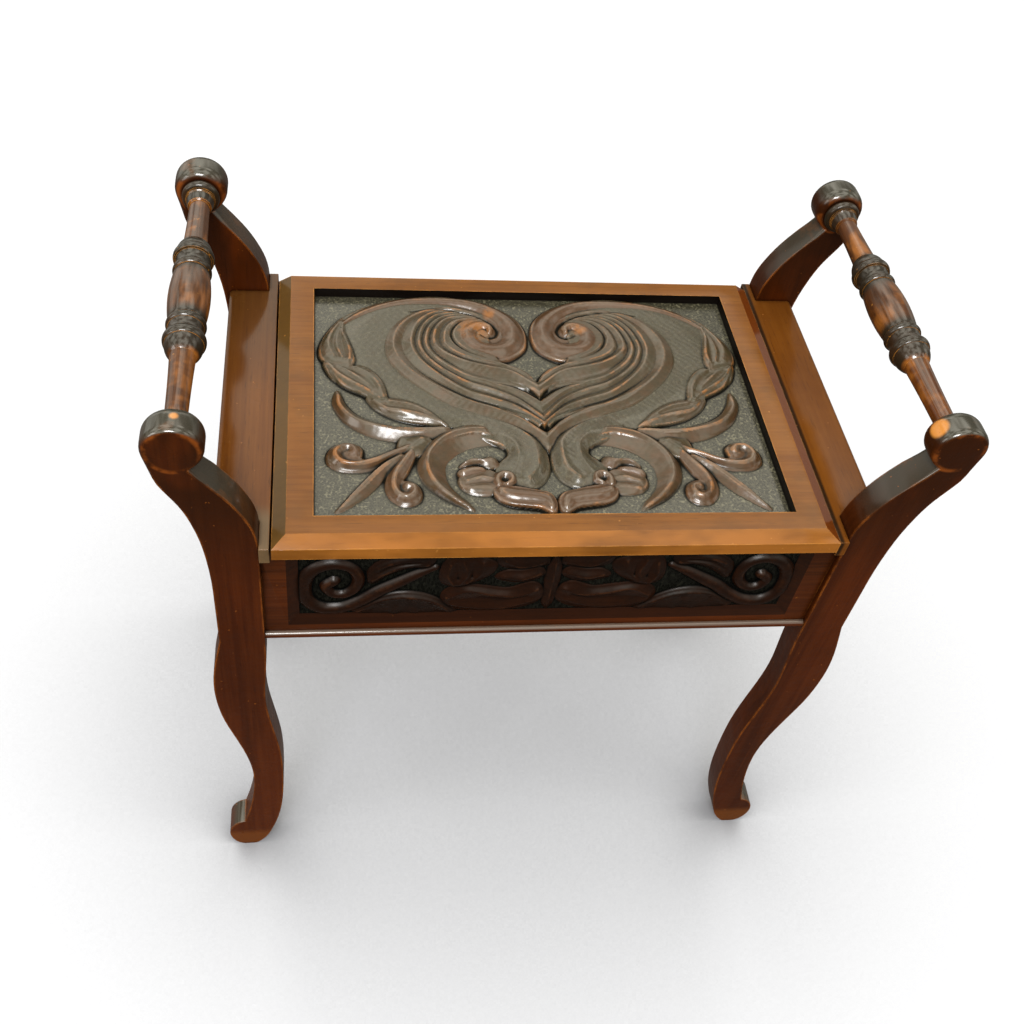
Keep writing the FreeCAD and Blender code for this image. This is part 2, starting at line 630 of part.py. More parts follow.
FRONT_FORMS = (
    ("spiral", 0.9, (
        ((-0.479, 0.861), (-0.583, 0.683), (-0.691, 0.478), (-0.83, 0.219), (-0.948, 0.328),
         (-0.938, 0.697), (-0.849, 0.779), (-0.805, 0.601), (-0.84, 0.464), (-0.874, 0.546)),
        ((-0.849, 0.656), (-0.899, 0.615), (-0.904, 0.423), (-0.82, 0.342), (-0.76, 0.56),
         (-0.79, 0.888), (-0.928, 0.943), (-0.998, 0.546), (-0.938, 0.082), (-0.8, 0.041),
         (-0.652, 0.301), (-0.479, 0.71)),
        ((-0.479, 0.861),),
    )),
    ("lower leaf", 0.7, (
        ((-0.78, 0.02), (-0.691, 0.273), (-0.593, 0.369), (-0.474, 0.273), (-0.375, 0.02)),
        ((-0.78, 0.02),),
    )),
    ("upper leaf", 0.7, (
        ((-0.484, 0.984), (-0.494, 0.833), (-0.612, 0.779), (-0.716, 0.546)),
        ((-0.716, 0.861), (-0.622, 0.984)),
        ((-0.484, 0.984),),
    )),
    ("flower", 0.8, (
        ((-0.395, 0.902), (-0.444, 0.574), (-0.42, 0.328), (-0.435, 0.15), (-0.306, 0.02),
         (-0.079, 0.068), (-0.03, 0.301), (-0.099, 0.642), (-0.207, 0.683), (-0.296, 0.929),
         (-0.395, 0.902)),
    )),
    ("upper lobe", 0.7, (
        ((-0.232, 0.984), (-0.188, 0.765), (-0.04, 0.738), (-0.04, 0.902)),
        ((-0.069, 0.984),),
        ((-0.232, 0.984),),
    )),
    ("middle husk", 0.8, (
        ((0.01, 0.984), (-0.02, 0.806), (-0.025, 0.396), (0.01, 0.02)),
        ((0.01, 0.984),),
    )),
)


def carved_forms(name, forms, corner, across, up, depth, lift, turn):
    """Raise the forms from a sunk ground and mirror them: solids that run into the board.

    corner is the middle of the ground's lower edge; across and up are its half width and its
    height; depth is how far it is sunk; lift points out of it."""
    pieces = []
    for label, rise, runs in forms:
        points = [[FreeCAD.Vector(*turn(x * across, y * up)) for x, y in run] for run in runs]
        edges = []
        start = points[0][0]
        for count, run in enumerate(points):
            stops = run if count == 0 else [start] + run
            if len(stops) == 2:
                edges.append(Part.LineSegment(*stops).toShape())
            else:
                smooth = Part.BSplineCurve()
                smooth.interpolate(Points=stops)
                edges += [arc.toShape() for arc in smooth.toBiArcs(size["carving_arc_fit"])]
            start = stops[-1]
        word = name + "_" + label.replace(" ", "_")
        outline = doc.addObject("Part::Feature", word + "_outline")
        outline.Shape = Part.Face(Part.Wire(edges))
        bind(outline, **corner)
        form = doc.addObject("Part::Extrusion", word)
        form.Base = outline
        form.DirMode = "Custom"
        form.Dir = lift
        form.Solid = True
        bind(form, LengthFwd=f"cut_overrun + {rise} * {depth}")
        pieces += [form, mirror(word + "_twin", form)]
    return pieces


def make_front_rail():
    """The carved front rail: a board with a panel sunk behind a sloping border."""
    body = new_body("front_rail_blank", "0", "front_rail_face", "rail_bottom")
    plan = new_sketch(body, "front_rail_plan", "XY_Plane")
    rectangle(plan, None, "0", "box_width", "front_rail_thickness")
    extrude(body, "Pad", "front_rail_board", plan, "rail_height")
    rim = new_sketch(body, "front_panel_rim", "XZ_Plane")
    rectangle(rim, None, "front_lower_border", "box_width - 2 * front_end_border",
              "rail_height - front_lower_border - front_upper_border")
    floor = new_sketch(body, "front_panel_floor", "XZ_Plane", "0 - front_carving_depth")
    rectangle(floor, None, "front_lower_border + front_bevel",
              "box_width - 2 * front_end_border - 2 * front_bevel",
              "rail_height - front_lower_border - front_upper_border - 2 * front_bevel")
    loft(body, "SubtractiveLoft", "front_panel", rim, floor)
    add_end_joints(body, "front_rail_thickness")
    across = size["box_width"] / 2 - size["front_end_border"] - size["front_bevel"]
    up = (size["rail_height"] - size["front_lower_border"] - size["front_upper_border"]
          - 2 * size["front_bevel"])
    corner = {"y": "front_rail_face + front_carving_depth + cut_overrun",
              "z": "rail_bottom + front_lower_border + front_bevel"}
    forms = carved_forms("front", FRONT_FORMS, corner, across, up, "front_carving_depth",
                         FreeCAD.Vector(0, -1, 0), lambda x, y: (x, 0, y))
    return fuse("front_rail", [body] + forms)


make_front_rail()


def half_round_bead():
    """A flat back strip with a half-round nose, laid along the front rail."""
    back = box("bead_back", "box_width", "bead_flat", "bead_height", "0 - box_width / 2",
               "front_rail_face - bead_flat", "rail_bottom")
    nose = rod("bead_nose", "x", "bead_height / 2", "box_width", "0 - box_width / 2",
               "front_rail_face - bead_flat", "rail_bottom + bead_height / 2")
    whole = fuse("bead_whole", [back, nose])
    behind = box("bead_behind", "box_width + 2 * cut_overrun", "bead_height", "bead_height + 2 * cut_overrun",
                 "0 - box_width / 2 - cut_overrun", "front_rail_face", "rail_bottom - cut_overrun")
    return cut("front_bead", whole, [behind])


half_round_bead()


def hinge_middles():
    """The two hinges: a name for each side and the place of its middle."""
    return (("left", "0 - hinge_spread / 2"), ("right", "hinge_spread / 2"))


def make_back_rail():
    """The plain back rail, let in at its top for the hinges."""
    body = new_body("back_rail", "0", "back_rail_front", "rail_bottom")
    plan = new_sketch(body, "back_rail_plan", "XY_Plane")
    rectangle(plan, None, "0", "box_width", "back_rail_thickness")
    extrude(body, "Pad", "back_rail_board", plan, "rail_height")
    add_end_joints(body, "back_rail_thickness")
    start = "hinge_spread / 2 - hinge_length / 2"
    seat = new_sketch(body, "back_leaf_seat_plan", "XY_Plane", "rail_height")
    rectangle(seat, start, "pin_place - hinge_leaf_width - back_rail_front", "hinge_length",
              "hinge_leaf_width")
    leaf_seat = extrude(body, "Pocket", "back_leaf_seat", seat, "hinge_leaf_thickness")
    groove = new_sketch(body, "back_knuckle_groove_plan", "XY_Plane", "rail_height")
    rectangle(groove, start, "pin_place - leaf_edge - back_rail_front", "hinge_length", "2 * leaf_edge")
    knuckle_groove = extrude(body, "Pocket", "back_knuckle_groove", groove, "leaf_edge")
    pilots = new_sketch(body, "back_pilot_plan", "XY_Plane", "rail_height")
    for step in (-1, 0, 1):
        circle(pilots, f"hinge_spread / 2 + {step} * screw_spacing",
               "pin_place - back_rail_front - (hinge_leaf_width + leaf_edge) / 2",
               "screw_shank_radius + screw_gap")
    pilot = extrude(body, "Pocket", "back_pilots", pilots, "screw_length + screw_gap")
    both_ends(body, "back_other_hinge", [leaf_seat, knuckle_groove, pilot])
    return body


make_back_rail()

box("box_bottom", "box_width - 2 * bottom_gap", "box_depth - 2 * bottom_gap", "bottom_thickness",
    "bottom_gap - box_width / 2", "front_rail_back + bottom_gap", "rail_bottom + bearer_size")
box("bottom_bearer_front", "box_width", "bearer_size", "bearer_size", "0 - box_width / 2",
    "front_rail_back", "rail_bottom")
box("bottom_bearer_rear", "box_width", "bearer_size", "bearer_size", "0 - box_width / 2",
    "back_rail_front - bearer_size", "rail_bottom")
mirror("bottom_bearer_left",
       box("bottom_bearer_right", "bearer_size", "box_depth - 2 * bearer_size", "bearer_size",
           "box_width / 2 - bearer_size", "front_rail_back + bearer_size", "rail_bottom"))

cross_dowels = []
for rail, middle in (("front", FRONT_MIDDLE), ("back", BACK_MIDDLE)):
    for side, end in (("left", "0 - box_width / 2"), ("right", "box_width / 2")):
        for count, share in enumerate(CROSS_DOWEL_SHARES):
            cross_dowels.append(rod(f"cross_dowel_{rail}_{side}_{count}", "x", "dowel_radius",
                                    "dowel_length", end + " - dowel_length / 2", middle,
                                    f"rail_bottom + {share} * rail_height"))
group("cross_rail_dowels", cross_dowels)

side_dowels = []
for leg, joint in (("front", "front_leg_back"), ("rear", "rear_leg_front")):
    for side, middle in (("left", "0 - side_rail_middle"), ("right", "side_rail_middle")):
        for count, share in enumerate(SIDE_DOWEL_SHARES):
            side_dowels.append(rod(f"side_dowel_{leg}_{side}_{count}", "y", "dowel_radius",
                                   "dowel_length", middle, joint + " - dowel_length / 2",
                                   f"rail_bottom + {share} * side_rail_height"))
group("side_rail_dowels", side_dowels)


def make_lid():
    """The lid: one board, sloped on three edges, with the carving raised from a sunk ground."""
    body = new_body("lid_blank", "0", "0 - overall_depth / 2", "lid_underside")
    plan = new_sketch(body, "lid_plan", "XY_Plane")
    rectangle(plan, None, "0", "lid_width", "lid_depth")
    extrude(body, "Pad", "lid_edge", plan, "lid_thickness - lid_bevel_drop")
    low = new_sketch(body, "lid_bevel_low", "XY_Plane", "lid_thickness - lid_bevel_drop")
    rectangle(low, None, "0", "lid_width", "lid_depth")
    high = new_sketch(body, "lid_bevel_high", "XY_Plane", "lid_thickness")
    rectangle(high, None, "lid_bevel_width", "lid_width - 2 * lid_bevel_width",
              "lid_depth - lid_bevel_width")
    loft(body, "AdditiveLoft", "lid_bevel", low, high)
    ground = new_sketch(body, "lid_ground_plan", "XY_Plane", "lid_thickness")
    rectangle(ground, None, "lid_bevel_width + lid_front_border",
              "lid_width - 2 * lid_bevel_width - 2 * lid_side_border",
              "lid_depth - lid_bevel_width - lid_front_border - lid_back_border")
    extrude(body, "Pocket", "lid_ground", ground, "lid_carving_depth")
    seat = new_sketch(body, "lid_leaf_seat_plan", "XY_Plane")
    rectangle(seat, "hinge_spread / 2 - hinge_length / 2",
              "lid_depth - hinge_leaf_width + leaf_edge", "hinge_length", "hinge_leaf_width - leaf_edge")
    leaf_seat = extrude(body, "Pocket", "lid_leaf_seat", seat, "hinge_leaf_thickness", reverse=True)
    pilots = new_sketch(body, "lid_pilot_plan", "XY_Plane")
    for step in (-1, 0, 1):
        circle(pilots, f"hinge_spread / 2 + {step} * screw_spacing",
               "lid_depth - (hinge_leaf_width - leaf_edge) / 2", "screw_shank_radius + screw_gap")
    pilot = extrude(body, "Pocket", "lid_pilots", pilots, "screw_length + screw_gap", reverse=True)
    both_ends(body, "lid_other_hinge", [leaf_seat, pilot])
    lid_width = size["box_width"] - 2 * size["strip_width"] - 2 * size["lid_side_gap"]
    across = lid_width / 2 - size["lid_bevel_width"] - size["lid_side_border"]
    up = (size["overall_depth"] - size["lid_back_margin"] - size["lid_bevel_width"]
          - size["lid_front_border"] - size["lid_back_border"])
    corner = {"y": "lid_bevel_width + lid_front_border - overall_depth / 2",
              "z": "lid_height - lid_carving_depth - cut_overrun"}
    forms = carved_forms("lid", LID_FORMS, corner, across, up, "lid_carving_depth",
                         FreeCAD.Vector(0, 0, 1), lambda x, y: (x, y, 0))
    return fuse("lid", [body] + forms)


make_lid()


def screw_places(middle):
    """Where the three screws of a leaf stand, along X and along Y."""
    along = [f"{middle} + {step} * screw_spacing" for step in (-1, 0, 1)]
    return along, "pin_place - (hinge_leaf_width + leaf_edge) / 2"


def make_leaf(name, middle, low, own_knuckles, wide_end_up):
    """A hinge leaf with its share of the five knuckles, bored and countersunk."""
    knuckle_length = "(hinge_length - 4 * knuckle_gap) / 5"
    parts = [box(name + "_plate", "hinge_length", "hinge_leaf_width - leaf_edge", "hinge_leaf_thickness",
                 f"{middle} - hinge_length / 2", "pin_place - hinge_leaf_width", low)]
    for count in own_knuckles:
        start = f"{middle} - hinge_length / 2 + {count} * ({knuckle_length} + knuckle_gap)"
        parts.append(box(f"{name}_tab_{count}", knuckle_length, "hinge_leaf_width", "hinge_leaf_thickness",
                         start, "pin_place - hinge_leaf_width", low))
        parts.append(rod(f"{name}_knuckle_{count}", "x", "knuckle_radius", knuckle_length,
                         start, "pin_place", "pin_height"))
    solid = fuse(name + "_solid", parts)
    tools = [rod(name + "_bore", "x", "pin_radius + pin_gap", "hinge_length + 2 * cut_overrun",
                 f"{middle} - hinge_length / 2 - cut_overrun", "pin_place", "pin_height")]
    wide = "screw_head_radius + screw_gap"
    narrow = "screw_shank_radius + screw_gap"
    along, across = screw_places(middle)
    for count, place in enumerate(along):
        radii = (narrow, wide) if wide_end_up else (wide, narrow)
        tools.append(cone(f"{name}_sink_{count}", *radii, "hinge_leaf_thickness", place, across, low))
    return cut(name, solid, tools)


def make_screw(name, place, across, low, head_up):
    """A countersunk wood screw with its head flush in a leaf that starts at a height."""
    shank_length = "screw_length - hinge_leaf_thickness"
    radii = ("screw_shank_radius", "screw_head_radius")
    if head_up:
        head = cone(name + "_head", *radii, "hinge_leaf_thickness", place, across, low)
        foot = f"{low} - screw_length + hinge_leaf_thickness"
    else:
        head = cone(name + "_head", *reversed(radii), "hinge_leaf_thickness", place, across, low)
        foot = f"{low} + hinge_leaf_thickness"
    shank = rod(name + "_shank", "z", "screw_shank_radius", shank_length, place, across, foot)
    return fuse(name, [head, shank])


FIXED_LEAF_LOW = "rail_top - hinge_leaf_thickness"
rail_screws = []
lid_screws = []
for side, middle in hinge_middles():
    make_leaf("hinge_leaf_fixed_" + side, middle, FIXED_LEAF_LOW, (0, 2, 4), True)
    make_leaf("hinge_leaf_moving_" + side, middle, "lid_underside", (1, 3), False)
    rod("hinge_pin_" + side, "x", "pin_radius", "hinge_length", f"{middle} - hinge_length / 2",
        "pin_place", "pin_height")
    places, across_place = screw_places(middle)
    for count, place in enumerate(places):
        rail_screws.append(make_screw(f"rail_screw_{side}_{count}", place, across_place,
                                      FIXED_LEAF_LOW, True))
        lid_screws.append(make_screw(f"lid_screw_{side}_{count}", place, across_place,
                                     "lid_underside", False))
group("hinge_screws_rail", rail_screws)
group("hinge_screws_lid", lid_screws)

NODES = (
    "leg_front_left", "leg_front_right", "leg_rear_left", "leg_rear_right",
    "handrail_left", "handrail_right", "seat_board_left", "seat_board_right",
    "side_rail_left", "side_rail_right", "front_rail", "front_bead", "back_rail",
    "box_bottom", "bottom_bearer_front", "bottom_bearer_rear", "bottom_bearer_left",
    "bottom_bearer_right", "cross_rail_dowels", "side_rail_dowels", "lid",
    "hinge_leaf_fixed_left", "hinge_leaf_fixed_right", "hinge_leaf_moving_left",
    "hinge_leaf_moving_right", "hinge_pin_left", "hinge_pin_right",
    "hinge_screws_rail", "hinge_screws_lid",
)

doc.recompute()
failed = [item.Name for item in doc.Objects if "Invalid" in item.State or "Error" in item.State]
if failed:
    raise RuntimeError("these did not build: " + ", ".join(failed))
os.makedirs("parts", exist_ok=True)
for node in NODES:
    piece = doc.getObject(node)
    shape = piece.Shape
    if shape.isNull() or not shape.isValid() or not shape.Solids:
        raise RuntimeError("no valid solid in " + node)
    piece.Label = node
for node in NODES:
    shape = doc.getObject(node).Shape
    shape.exportStep(os.path.join("parts", node + ".step"))
    corner = shape.BoundBox
    print(f"{node:26s} solids {len(shape.Solids):2d}  volume {shape.Volume:10.0f}  "
          f"x {corner.XMin:7.1f} {corner.XMax:7.1f}  y {corner.YMin:7.1f} {corner.YMax:7.1f}  "
          f"z {corner.ZMin:6.1f} {corner.ZMax:6.1f}")
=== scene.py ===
"""A carved piano stool dressed round its solids: sawn scroll legs, turned handrails, a
carved lid on butt hinges and a carved front rail, in worn French polish."""
import math

import bmesh
import bpy
import numpy as np
from mathutils import Matrix, Vector
from mathutils.kdtree import KDTree


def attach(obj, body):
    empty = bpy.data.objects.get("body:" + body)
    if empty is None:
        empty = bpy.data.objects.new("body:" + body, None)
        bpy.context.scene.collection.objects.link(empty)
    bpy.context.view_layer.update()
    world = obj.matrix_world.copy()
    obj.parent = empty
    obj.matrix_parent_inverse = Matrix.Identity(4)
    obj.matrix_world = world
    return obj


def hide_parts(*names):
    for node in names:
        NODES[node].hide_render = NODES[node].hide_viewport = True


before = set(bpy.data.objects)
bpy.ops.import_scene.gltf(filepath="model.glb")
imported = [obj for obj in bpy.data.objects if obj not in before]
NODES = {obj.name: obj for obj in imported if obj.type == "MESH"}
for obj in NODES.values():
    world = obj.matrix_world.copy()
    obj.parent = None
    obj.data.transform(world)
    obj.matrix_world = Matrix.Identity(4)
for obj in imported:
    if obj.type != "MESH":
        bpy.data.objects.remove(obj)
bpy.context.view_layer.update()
MM = 0.001
SCENE = bpy.context.scene
# The handrails' axis, which the rolled ends of the arms also turn about: x to each side, z.
ROLL = (282.3, 594.0)


# Camera, light and floor

def set_camera():
    """The photograph's viewpoint: in front, above and a little to the left, tilted."""
    azimuth, elevation, tilt = (math.radians(a) for a in (12.373, 48.252, 8.916))
    ahead = Vector((math.sin(azimuth) * math.cos(elevation),
                    math.cos(azimuth) * math.cos(elevation), -math.sin(elevation)))
    level = Vector((math.cos(azimuth), -math.sin(azimuth), 0))
    above = level.cross(ahead)
    right = math.cos(tilt) * level + math.sin(tilt) * above
    up = math.cos(tilt) * above - math.sin(tilt) * level
    turn = Matrix((right, up, -ahead)).transposed().to_4x4()
    lens = bpy.data.cameras.new("camera")
    lens.sensor_width = 36
    lens.lens = 40.35
    lens.shift_x = 0.0202
    lens.shift_y = -0.0067
    lens.clip_end = 50
    camera = bpy.data.objects.new("camera", lens)
    SCENE.collection.objects.link(camera)
    camera.matrix_world = Matrix.Translation((-0.1808, -0.7032, 1.1641)) @ turn
    SCENE.camera = camera


def hang_softbox(name, place, target, size, power, colour=(1, 1, 1)):
    """A soft lamp at a place, turned to a target."""
    lamp = bpy.data.lights.new(name, "AREA")
    lamp.shape = "RECTANGLE"
    lamp.size, lamp.size_y = size
    lamp.energy = power
    lamp.color = colour
    softbox = bpy.data.objects.new(name, lamp)
    softbox.visible_camera = False
    SCENE.collection.objects.link(softbox)
    aim = Vector(target) - Vector(place)
    softbox.matrix_world = (Matrix.Translation(place)
                            @ aim.to_track_quat("-Z", "Y").to_matrix().to_4x4())


def split_by_camera(bench, kind, around, seen):
    """One shader for the light that bounces about, another for what the camera sees."""
    nodes = bench.tree.nodes
    pick = nodes.new("ShaderNodeMixShader")
    bench.link(nodes.new("ShaderNodeLightPath").outputs["Is Camera Ray"], pick.inputs["Fac"])
    bench.link(around.outputs[0], pick.inputs[1])
    bench.link(seen.outputs[0], pick.inputs[2])
    bench.link(pick.outputs[0], nodes.new(kind).inputs["Surface"])


def set_light():
    """A studio dim at floor level and bright overhead in soft panes, white behind the stool."""
    SCENE.view_settings.view_transform = "Standard"
    world = bpy.data.worlds.new("studio")
    SCENE.world = world
    world.use_nodes = True
    tree = world.node_tree
    tree.nodes.clear()
    bench = Bench(tree)
    direction = tree.nodes.new("ShaderNodeTexCoord").outputs["Generated"]
    rise = bench.ramp(bench.axes(direction)["Z"], -0.05, 0.75, 0.22, 0.85)
    panes = bench.ramp(bench.noise(direction, 2.4, 1.5, 0.5), 0.40, 0.60, 0.30, 1.75)
    soft, white = (tree.nodes.new("ShaderNodeBackground") for _ in range(2))
    soft.inputs["Color"].default_value = (1.0, 0.96, 0.82, 1)
    white.inputs["Color"].default_value = (1, 1, 1, 1)
    bench.link(bench.times(rise, panes), soft.inputs["Strength"])
    split_by_camera(bench, "ShaderNodeOutputWorld", soft, white)
    hang_softbox("front_softbox", (-0.55, -1.75, 2.65), (0, 0, 0.45), (1.1, 0.75), 40)
    hang_softbox("left_softbox", (-2.3, -0.9, 1.5), (0, 0, 0.4), (1.0, 1.0), 8, (1.0, 0.97, 0.92))
    hang_softbox("back_softbox", (-1.75, 1.6, 0.75), (0, 0, 0.5), (1.1, 1.3), 2, (1.0, 0.98, 0.88))


def lay_floor():
    """Grey paper that the camera alone sees as white; it keeps the stool's soft shadow, partly real
    and partly painted.
    """
    mesh = bpy.data.meshes.new("floor")
    half = 9.0
    mesh.from_pydata([(-half, -half, 0), (half, -half, 0), (half, half, 0), (-half, half, 0)],
                     [], [(0, 1, 2, 3)])
    floor = bpy.data.objects.new("floor", mesh)
    SCENE.collection.objects.link(floor)
    material = bpy.data.materials.new("pale_floor")
    material.use_nodes = True
    tree = material.node_tree
    tree.nodes.clear()
    bench = Bench(tree)
    plain, pale = (tree.nodes.new("ShaderNodeBsdfDiffuse") for _ in range(2))
    plain.inputs["Color"].default_value = (0.24, 0.24, 0.24, 1)
    pale.inputs["Color"].default_value = (0.34, 0.35, 0.39, 1)
    # A painted shadow: the glow the camera sees fades where ambient occlusion finds the stool
    # closing off the room above the paper.
    shade = tree.nodes.new("ShaderNodeAmbientOcclusion")
    shade.samples = 12
    shade.inputs["Distance"].default_value = 0.75
    glow = tree.nodes.new("ShaderNodeEmission")
    bench.link(bench.ramp(shade.outputs["AO"], 0.60, 0.97, 0.04, 0.72, "LINEAR"),
               glow.inputs["Strength"])
    lit = tree.nodes.new("ShaderNodeAddShader")
    bench.link(pale.outputs[0], lit.inputs[0])
    bench.link(glow.outputs[0], lit.inputs[1])
    split_by_camera(bench, "ShaderNodeOutputMaterial", plain, lit)
    floor.data.materials.append(material)


# Shared finish effects

def new_effect(name, inputs, outputs):
    """A shader group with named sockets: (name, socket type, value)."""
    group = bpy.data.node_groups.new(name, "ShaderNodeTree")
    for label, kind, value in inputs:
        socket = group.interface.new_socket(label, in_out="INPUT", socket_type=kind)
        if value is not None:
            socket.default_value = value
    for label, kind in outputs:
        group.interface.new_socket(label, in_out="OUTPUT", socket_type=kind)
    return group, group.nodes.new("NodeGroupInput"), group.nodes.new("NodeGroupOutput")


class Bench:
    """Short ways to lay and join nodes in one tree."""

    def __init__(self, tree):
        self.tree = tree

    def link(self, source, socket):
        if hasattr(source, "links"):
            self.tree.links.new(source, socket)
        else:
            socket.default_value = source

    def axes(self, vector):
        """The outputs X, Y and Z of a vector."""
        node = self.tree.nodes.new("ShaderNodeSeparateXYZ")
        self.link(vector, node.inputs[0])
        return node.outputs

    def facing(self):
        """The outputs X, Y and Z of the way the surface faces."""
        return self.axes(self.tree.nodes.new("ShaderNodeTexCoord").outputs["Normal"])

    def mark(self, label):
        """A value that the piece's mesh carries."""
        node = self.tree.nodes.new("ShaderNodeAttribute")
        node.attribute_name = label
        return node.outputs["Fac"]

    def near(self, where, place, full, none):
        """1 close to a place, 0 away from it."""
        away = self.tree.nodes.new("ShaderNodeVectorMath")
        away.operation = "DISTANCE"
        self.link(where, away.inputs[0])
        away.inputs[1].default_value = place
        return self.ramp(away.outputs["Value"], full, none, 1.0, 0.0)

    def maths(self, operation, a, b, clamp=False):
        node = self.tree.nodes.new("ShaderNodeMath")
        node.operation = operation
        node.use_clamp = clamp
        for value, socket in zip((a, b), node.inputs):
            self.link(value, socket)
        return node.outputs[0]

    def times(self, a, b, clamp=False):
        return self.maths("MULTIPLY", a, b, clamp)

    def noise(self, vector, scale, detail=3.0, roughness=0.55, distortion=0.0):
        node = self.tree.nodes.new("ShaderNodeTexNoise")
        self.link(vector, node.inputs["Vector"])
        for label, value in (("Scale", scale), ("Detail", detail),
                             ("Roughness", roughness), ("Distortion", distortion)):
            self.link(value, node.inputs[label])
        return node.outputs["Fac"]

    def stretch(self, vector, scale, place=(0, 0, 0), turn=(0, 0, 0)):
        node = self.tree.nodes.new("ShaderNodeMapping")
        self.link(vector, node.inputs["Vector"])
        node.inputs["Scale"].default_value = scale
        node.inputs["Location"].default_value = place
        node.inputs["Rotation"].default_value = turn
        return node.outputs["Vector"]

    def ramp(self, value, low, high, to_low=0.0, to_high=1.0, kind="SMOOTHSTEP"):
        node = self.tree.nodes.new("ShaderNodeMapRange")
        node.interpolation_type = kind
        for label, amount in (("Value", value), ("From Min", low), ("From Max", high),
                              ("To Min", to_low), ("To Max", to_high)):
            self.link(amount, node.inputs[label])
        return node.outputs["Result"]

    def mix(self, share, a, b):
        """Colour a, or b where the share is 1."""
        node = self.tree.nodes.new("ShaderNodeMix")
        node.data_type = "RGBA"
        self.link(share, node.inputs["Factor"])
        for value, socket in zip((a, b), [s for s in node.inputs if s.type == "RGBA"]):
            self.link(value, socket)
        return [s for s in node.outputs if s.type == "RGBA"][0]

    def group(self, group, **values):
        node = self.tree.nodes.new("ShaderNodeGroup")
        node.node_tree = group
        for label, value in values.items():
            self.link(value, node.inputs[label])
        return node.outputs

    def bump(self, height, distance, strength=1.0, under=None):
        node = self.tree.nodes.new("ShaderNodeBump")
        node.inputs["Strength"].default_value = strength
        node.inputs["Distance"].default_value = distance
        self.link(height, node.inputs["Height"])
        if under is not None:
            self.link(under, node.inputs["Normal"])
        return node.outputs["Normal"]


def grain_effect():
    """Figure, fine streaks and pores of a board whose grain runs along Z of the vector."""
    group, given, out = new_effect(
        "board_grain", [("Vector", "NodeSocketVector", None), ("Coarse", "NodeSocketFloat", 14.0)],
        [("Figure", "NodeSocketFloat"), ("Streaks", "NodeSocketFloat"),
         ("Pores", "NodeSocketFloat")])
    bench = Bench(group)
    vector = given.outputs["Vector"]
    figure = bench.noise(bench.stretch(vector, (1, 1, 0.10)), given.outputs["Coarse"], 4, 0.6, 0.8)
    streaks = bench.noise(bench.stretch(vector, (1, 1, 0.025)), 260, 3, 0.6)
    pores = bench.noise(bench.stretch(vector, (1, 1, 0.05)), 1100, 2, 0.5)
    bench.link(bench.ramp(figure, 0.3, 0.7), out.inputs["Figure"])
    bench.link(bench.ramp(streaks, 0.32, 0.68), out.inputs["Streaks"])
    bench.link(bench.ramp(pores, 0.60, 0.72), out.inputs["Pores"])
    return group


def wear_effect():
    """Polish rubbed off arrises: 1 where an edge is near, broken up by handling."""
    group, given, out = new_effect(
        "rubbed_edges", [("Vector", "NodeSocketVector", None), ("Reach", "NodeSocketFloat", 0.0016),
                         ("Amount", "NodeSocketFloat", 1.0)], [("Wear", "NodeSocketFloat")])
    bench = Bench(group)
    bevel = group.nodes.new("ShaderNodeBevel")
    bevel.samples = 6
    bench.link(given.outputs["Reach"], bevel.inputs["Radius"])
    surface = group.nodes.new("ShaderNodeNewGeometry")
    dot = group.nodes.new("ShaderNodeVectorMath")
    dot.operation = "DOT_PRODUCT"
    bench.link(bevel.outputs["Normal"], dot.inputs[0])
    bench.link(surface.outputs["Normal"], dot.inputs[1])
    edge = bench.ramp(bench.maths("SUBTRACT", 1.0, dot.outputs["Value"]), 0.005, 0.09)
    patches = bench.ramp(bench.noise(given.outputs["Vector"], 46, 4, 0.65), 0.36, 0.62, 0.12, 1.0)
    wear = bench.times(bench.times(edge, patches),
                       given.outputs["Amount"], clamp=True)
    bench.link(wear, out.inputs["Wear"])
    return group


def handling_effect():
    """Cloudy polish, dents and small chips over a whole surface."""
    group, given, out = new_effect(
        "handled_polish", [("Vector", "NodeSocketVector", None)],
        [("Cloud", "NodeSocketFloat"), ("Dents", "NodeSocketFloat"), ("Chips", "NodeSocketFloat")])
    bench = Bench(group)
    vector = given.outputs["Vector"]
    bench.link(bench.ramp(bench.noise(vector, 11, 4, 0.6), 0.3, 0.7), out.inputs["Cloud"])
    bench.link(bench.noise(vector, 60, 2, 0.5), out.inputs["Dents"])
    chips = bench.noise(bench.stretch(vector, (1, 1, 1), (3.1, 1.7, 0.4)), 240, 2, 0.4)
    bench.link(bench.ramp(chips, 0.745, 0.765), out.inputs["Chips"])
    return group


def grime_and_shade_effect():
    """Dark polish and dust where one surface meets another, with painted shade: darker where
    ambient occlusion finds the surface closed in.
    """
    group, given, out = new_effect(
        "grime_and_painted_shade", [("Reach", "NodeSocketFloat", 0.006), ("Amount", "NodeSocketFloat", 1.0)],
        [("GrimeAndShade", "NodeSocketFloat")])
    bench = Bench(group)
    shade = group.nodes.new("ShaderNodeAmbientOcclusion")
    shade.samples = 6
    bench.link(given.outputs["Reach"], shade.inputs["Distance"])
    # Painted shade with grime: the darker share grows as ambient occlusion closes in.
    dirt_and_painted_shade = bench.ramp(shade.outputs["AO"], 0.35, 0.9, 1.0, 0.0)
    bench.link(bench.times(dirt_and_painted_shade, given.outputs["Amount"], clamp=True), out.inputs["GrimeAndShade"])
    return group


GRAIN = grain_effect()
WEAR = wear_effect()
HANDLING = handling_effect()
GRIME_AND_SHADE = grime_and_shade_effect()

GRAIN_TURN = {"x": (0, math.pi / 2, 0), "y": (math.pi / 2, 0, 0), "z": (0, 0, 0)}


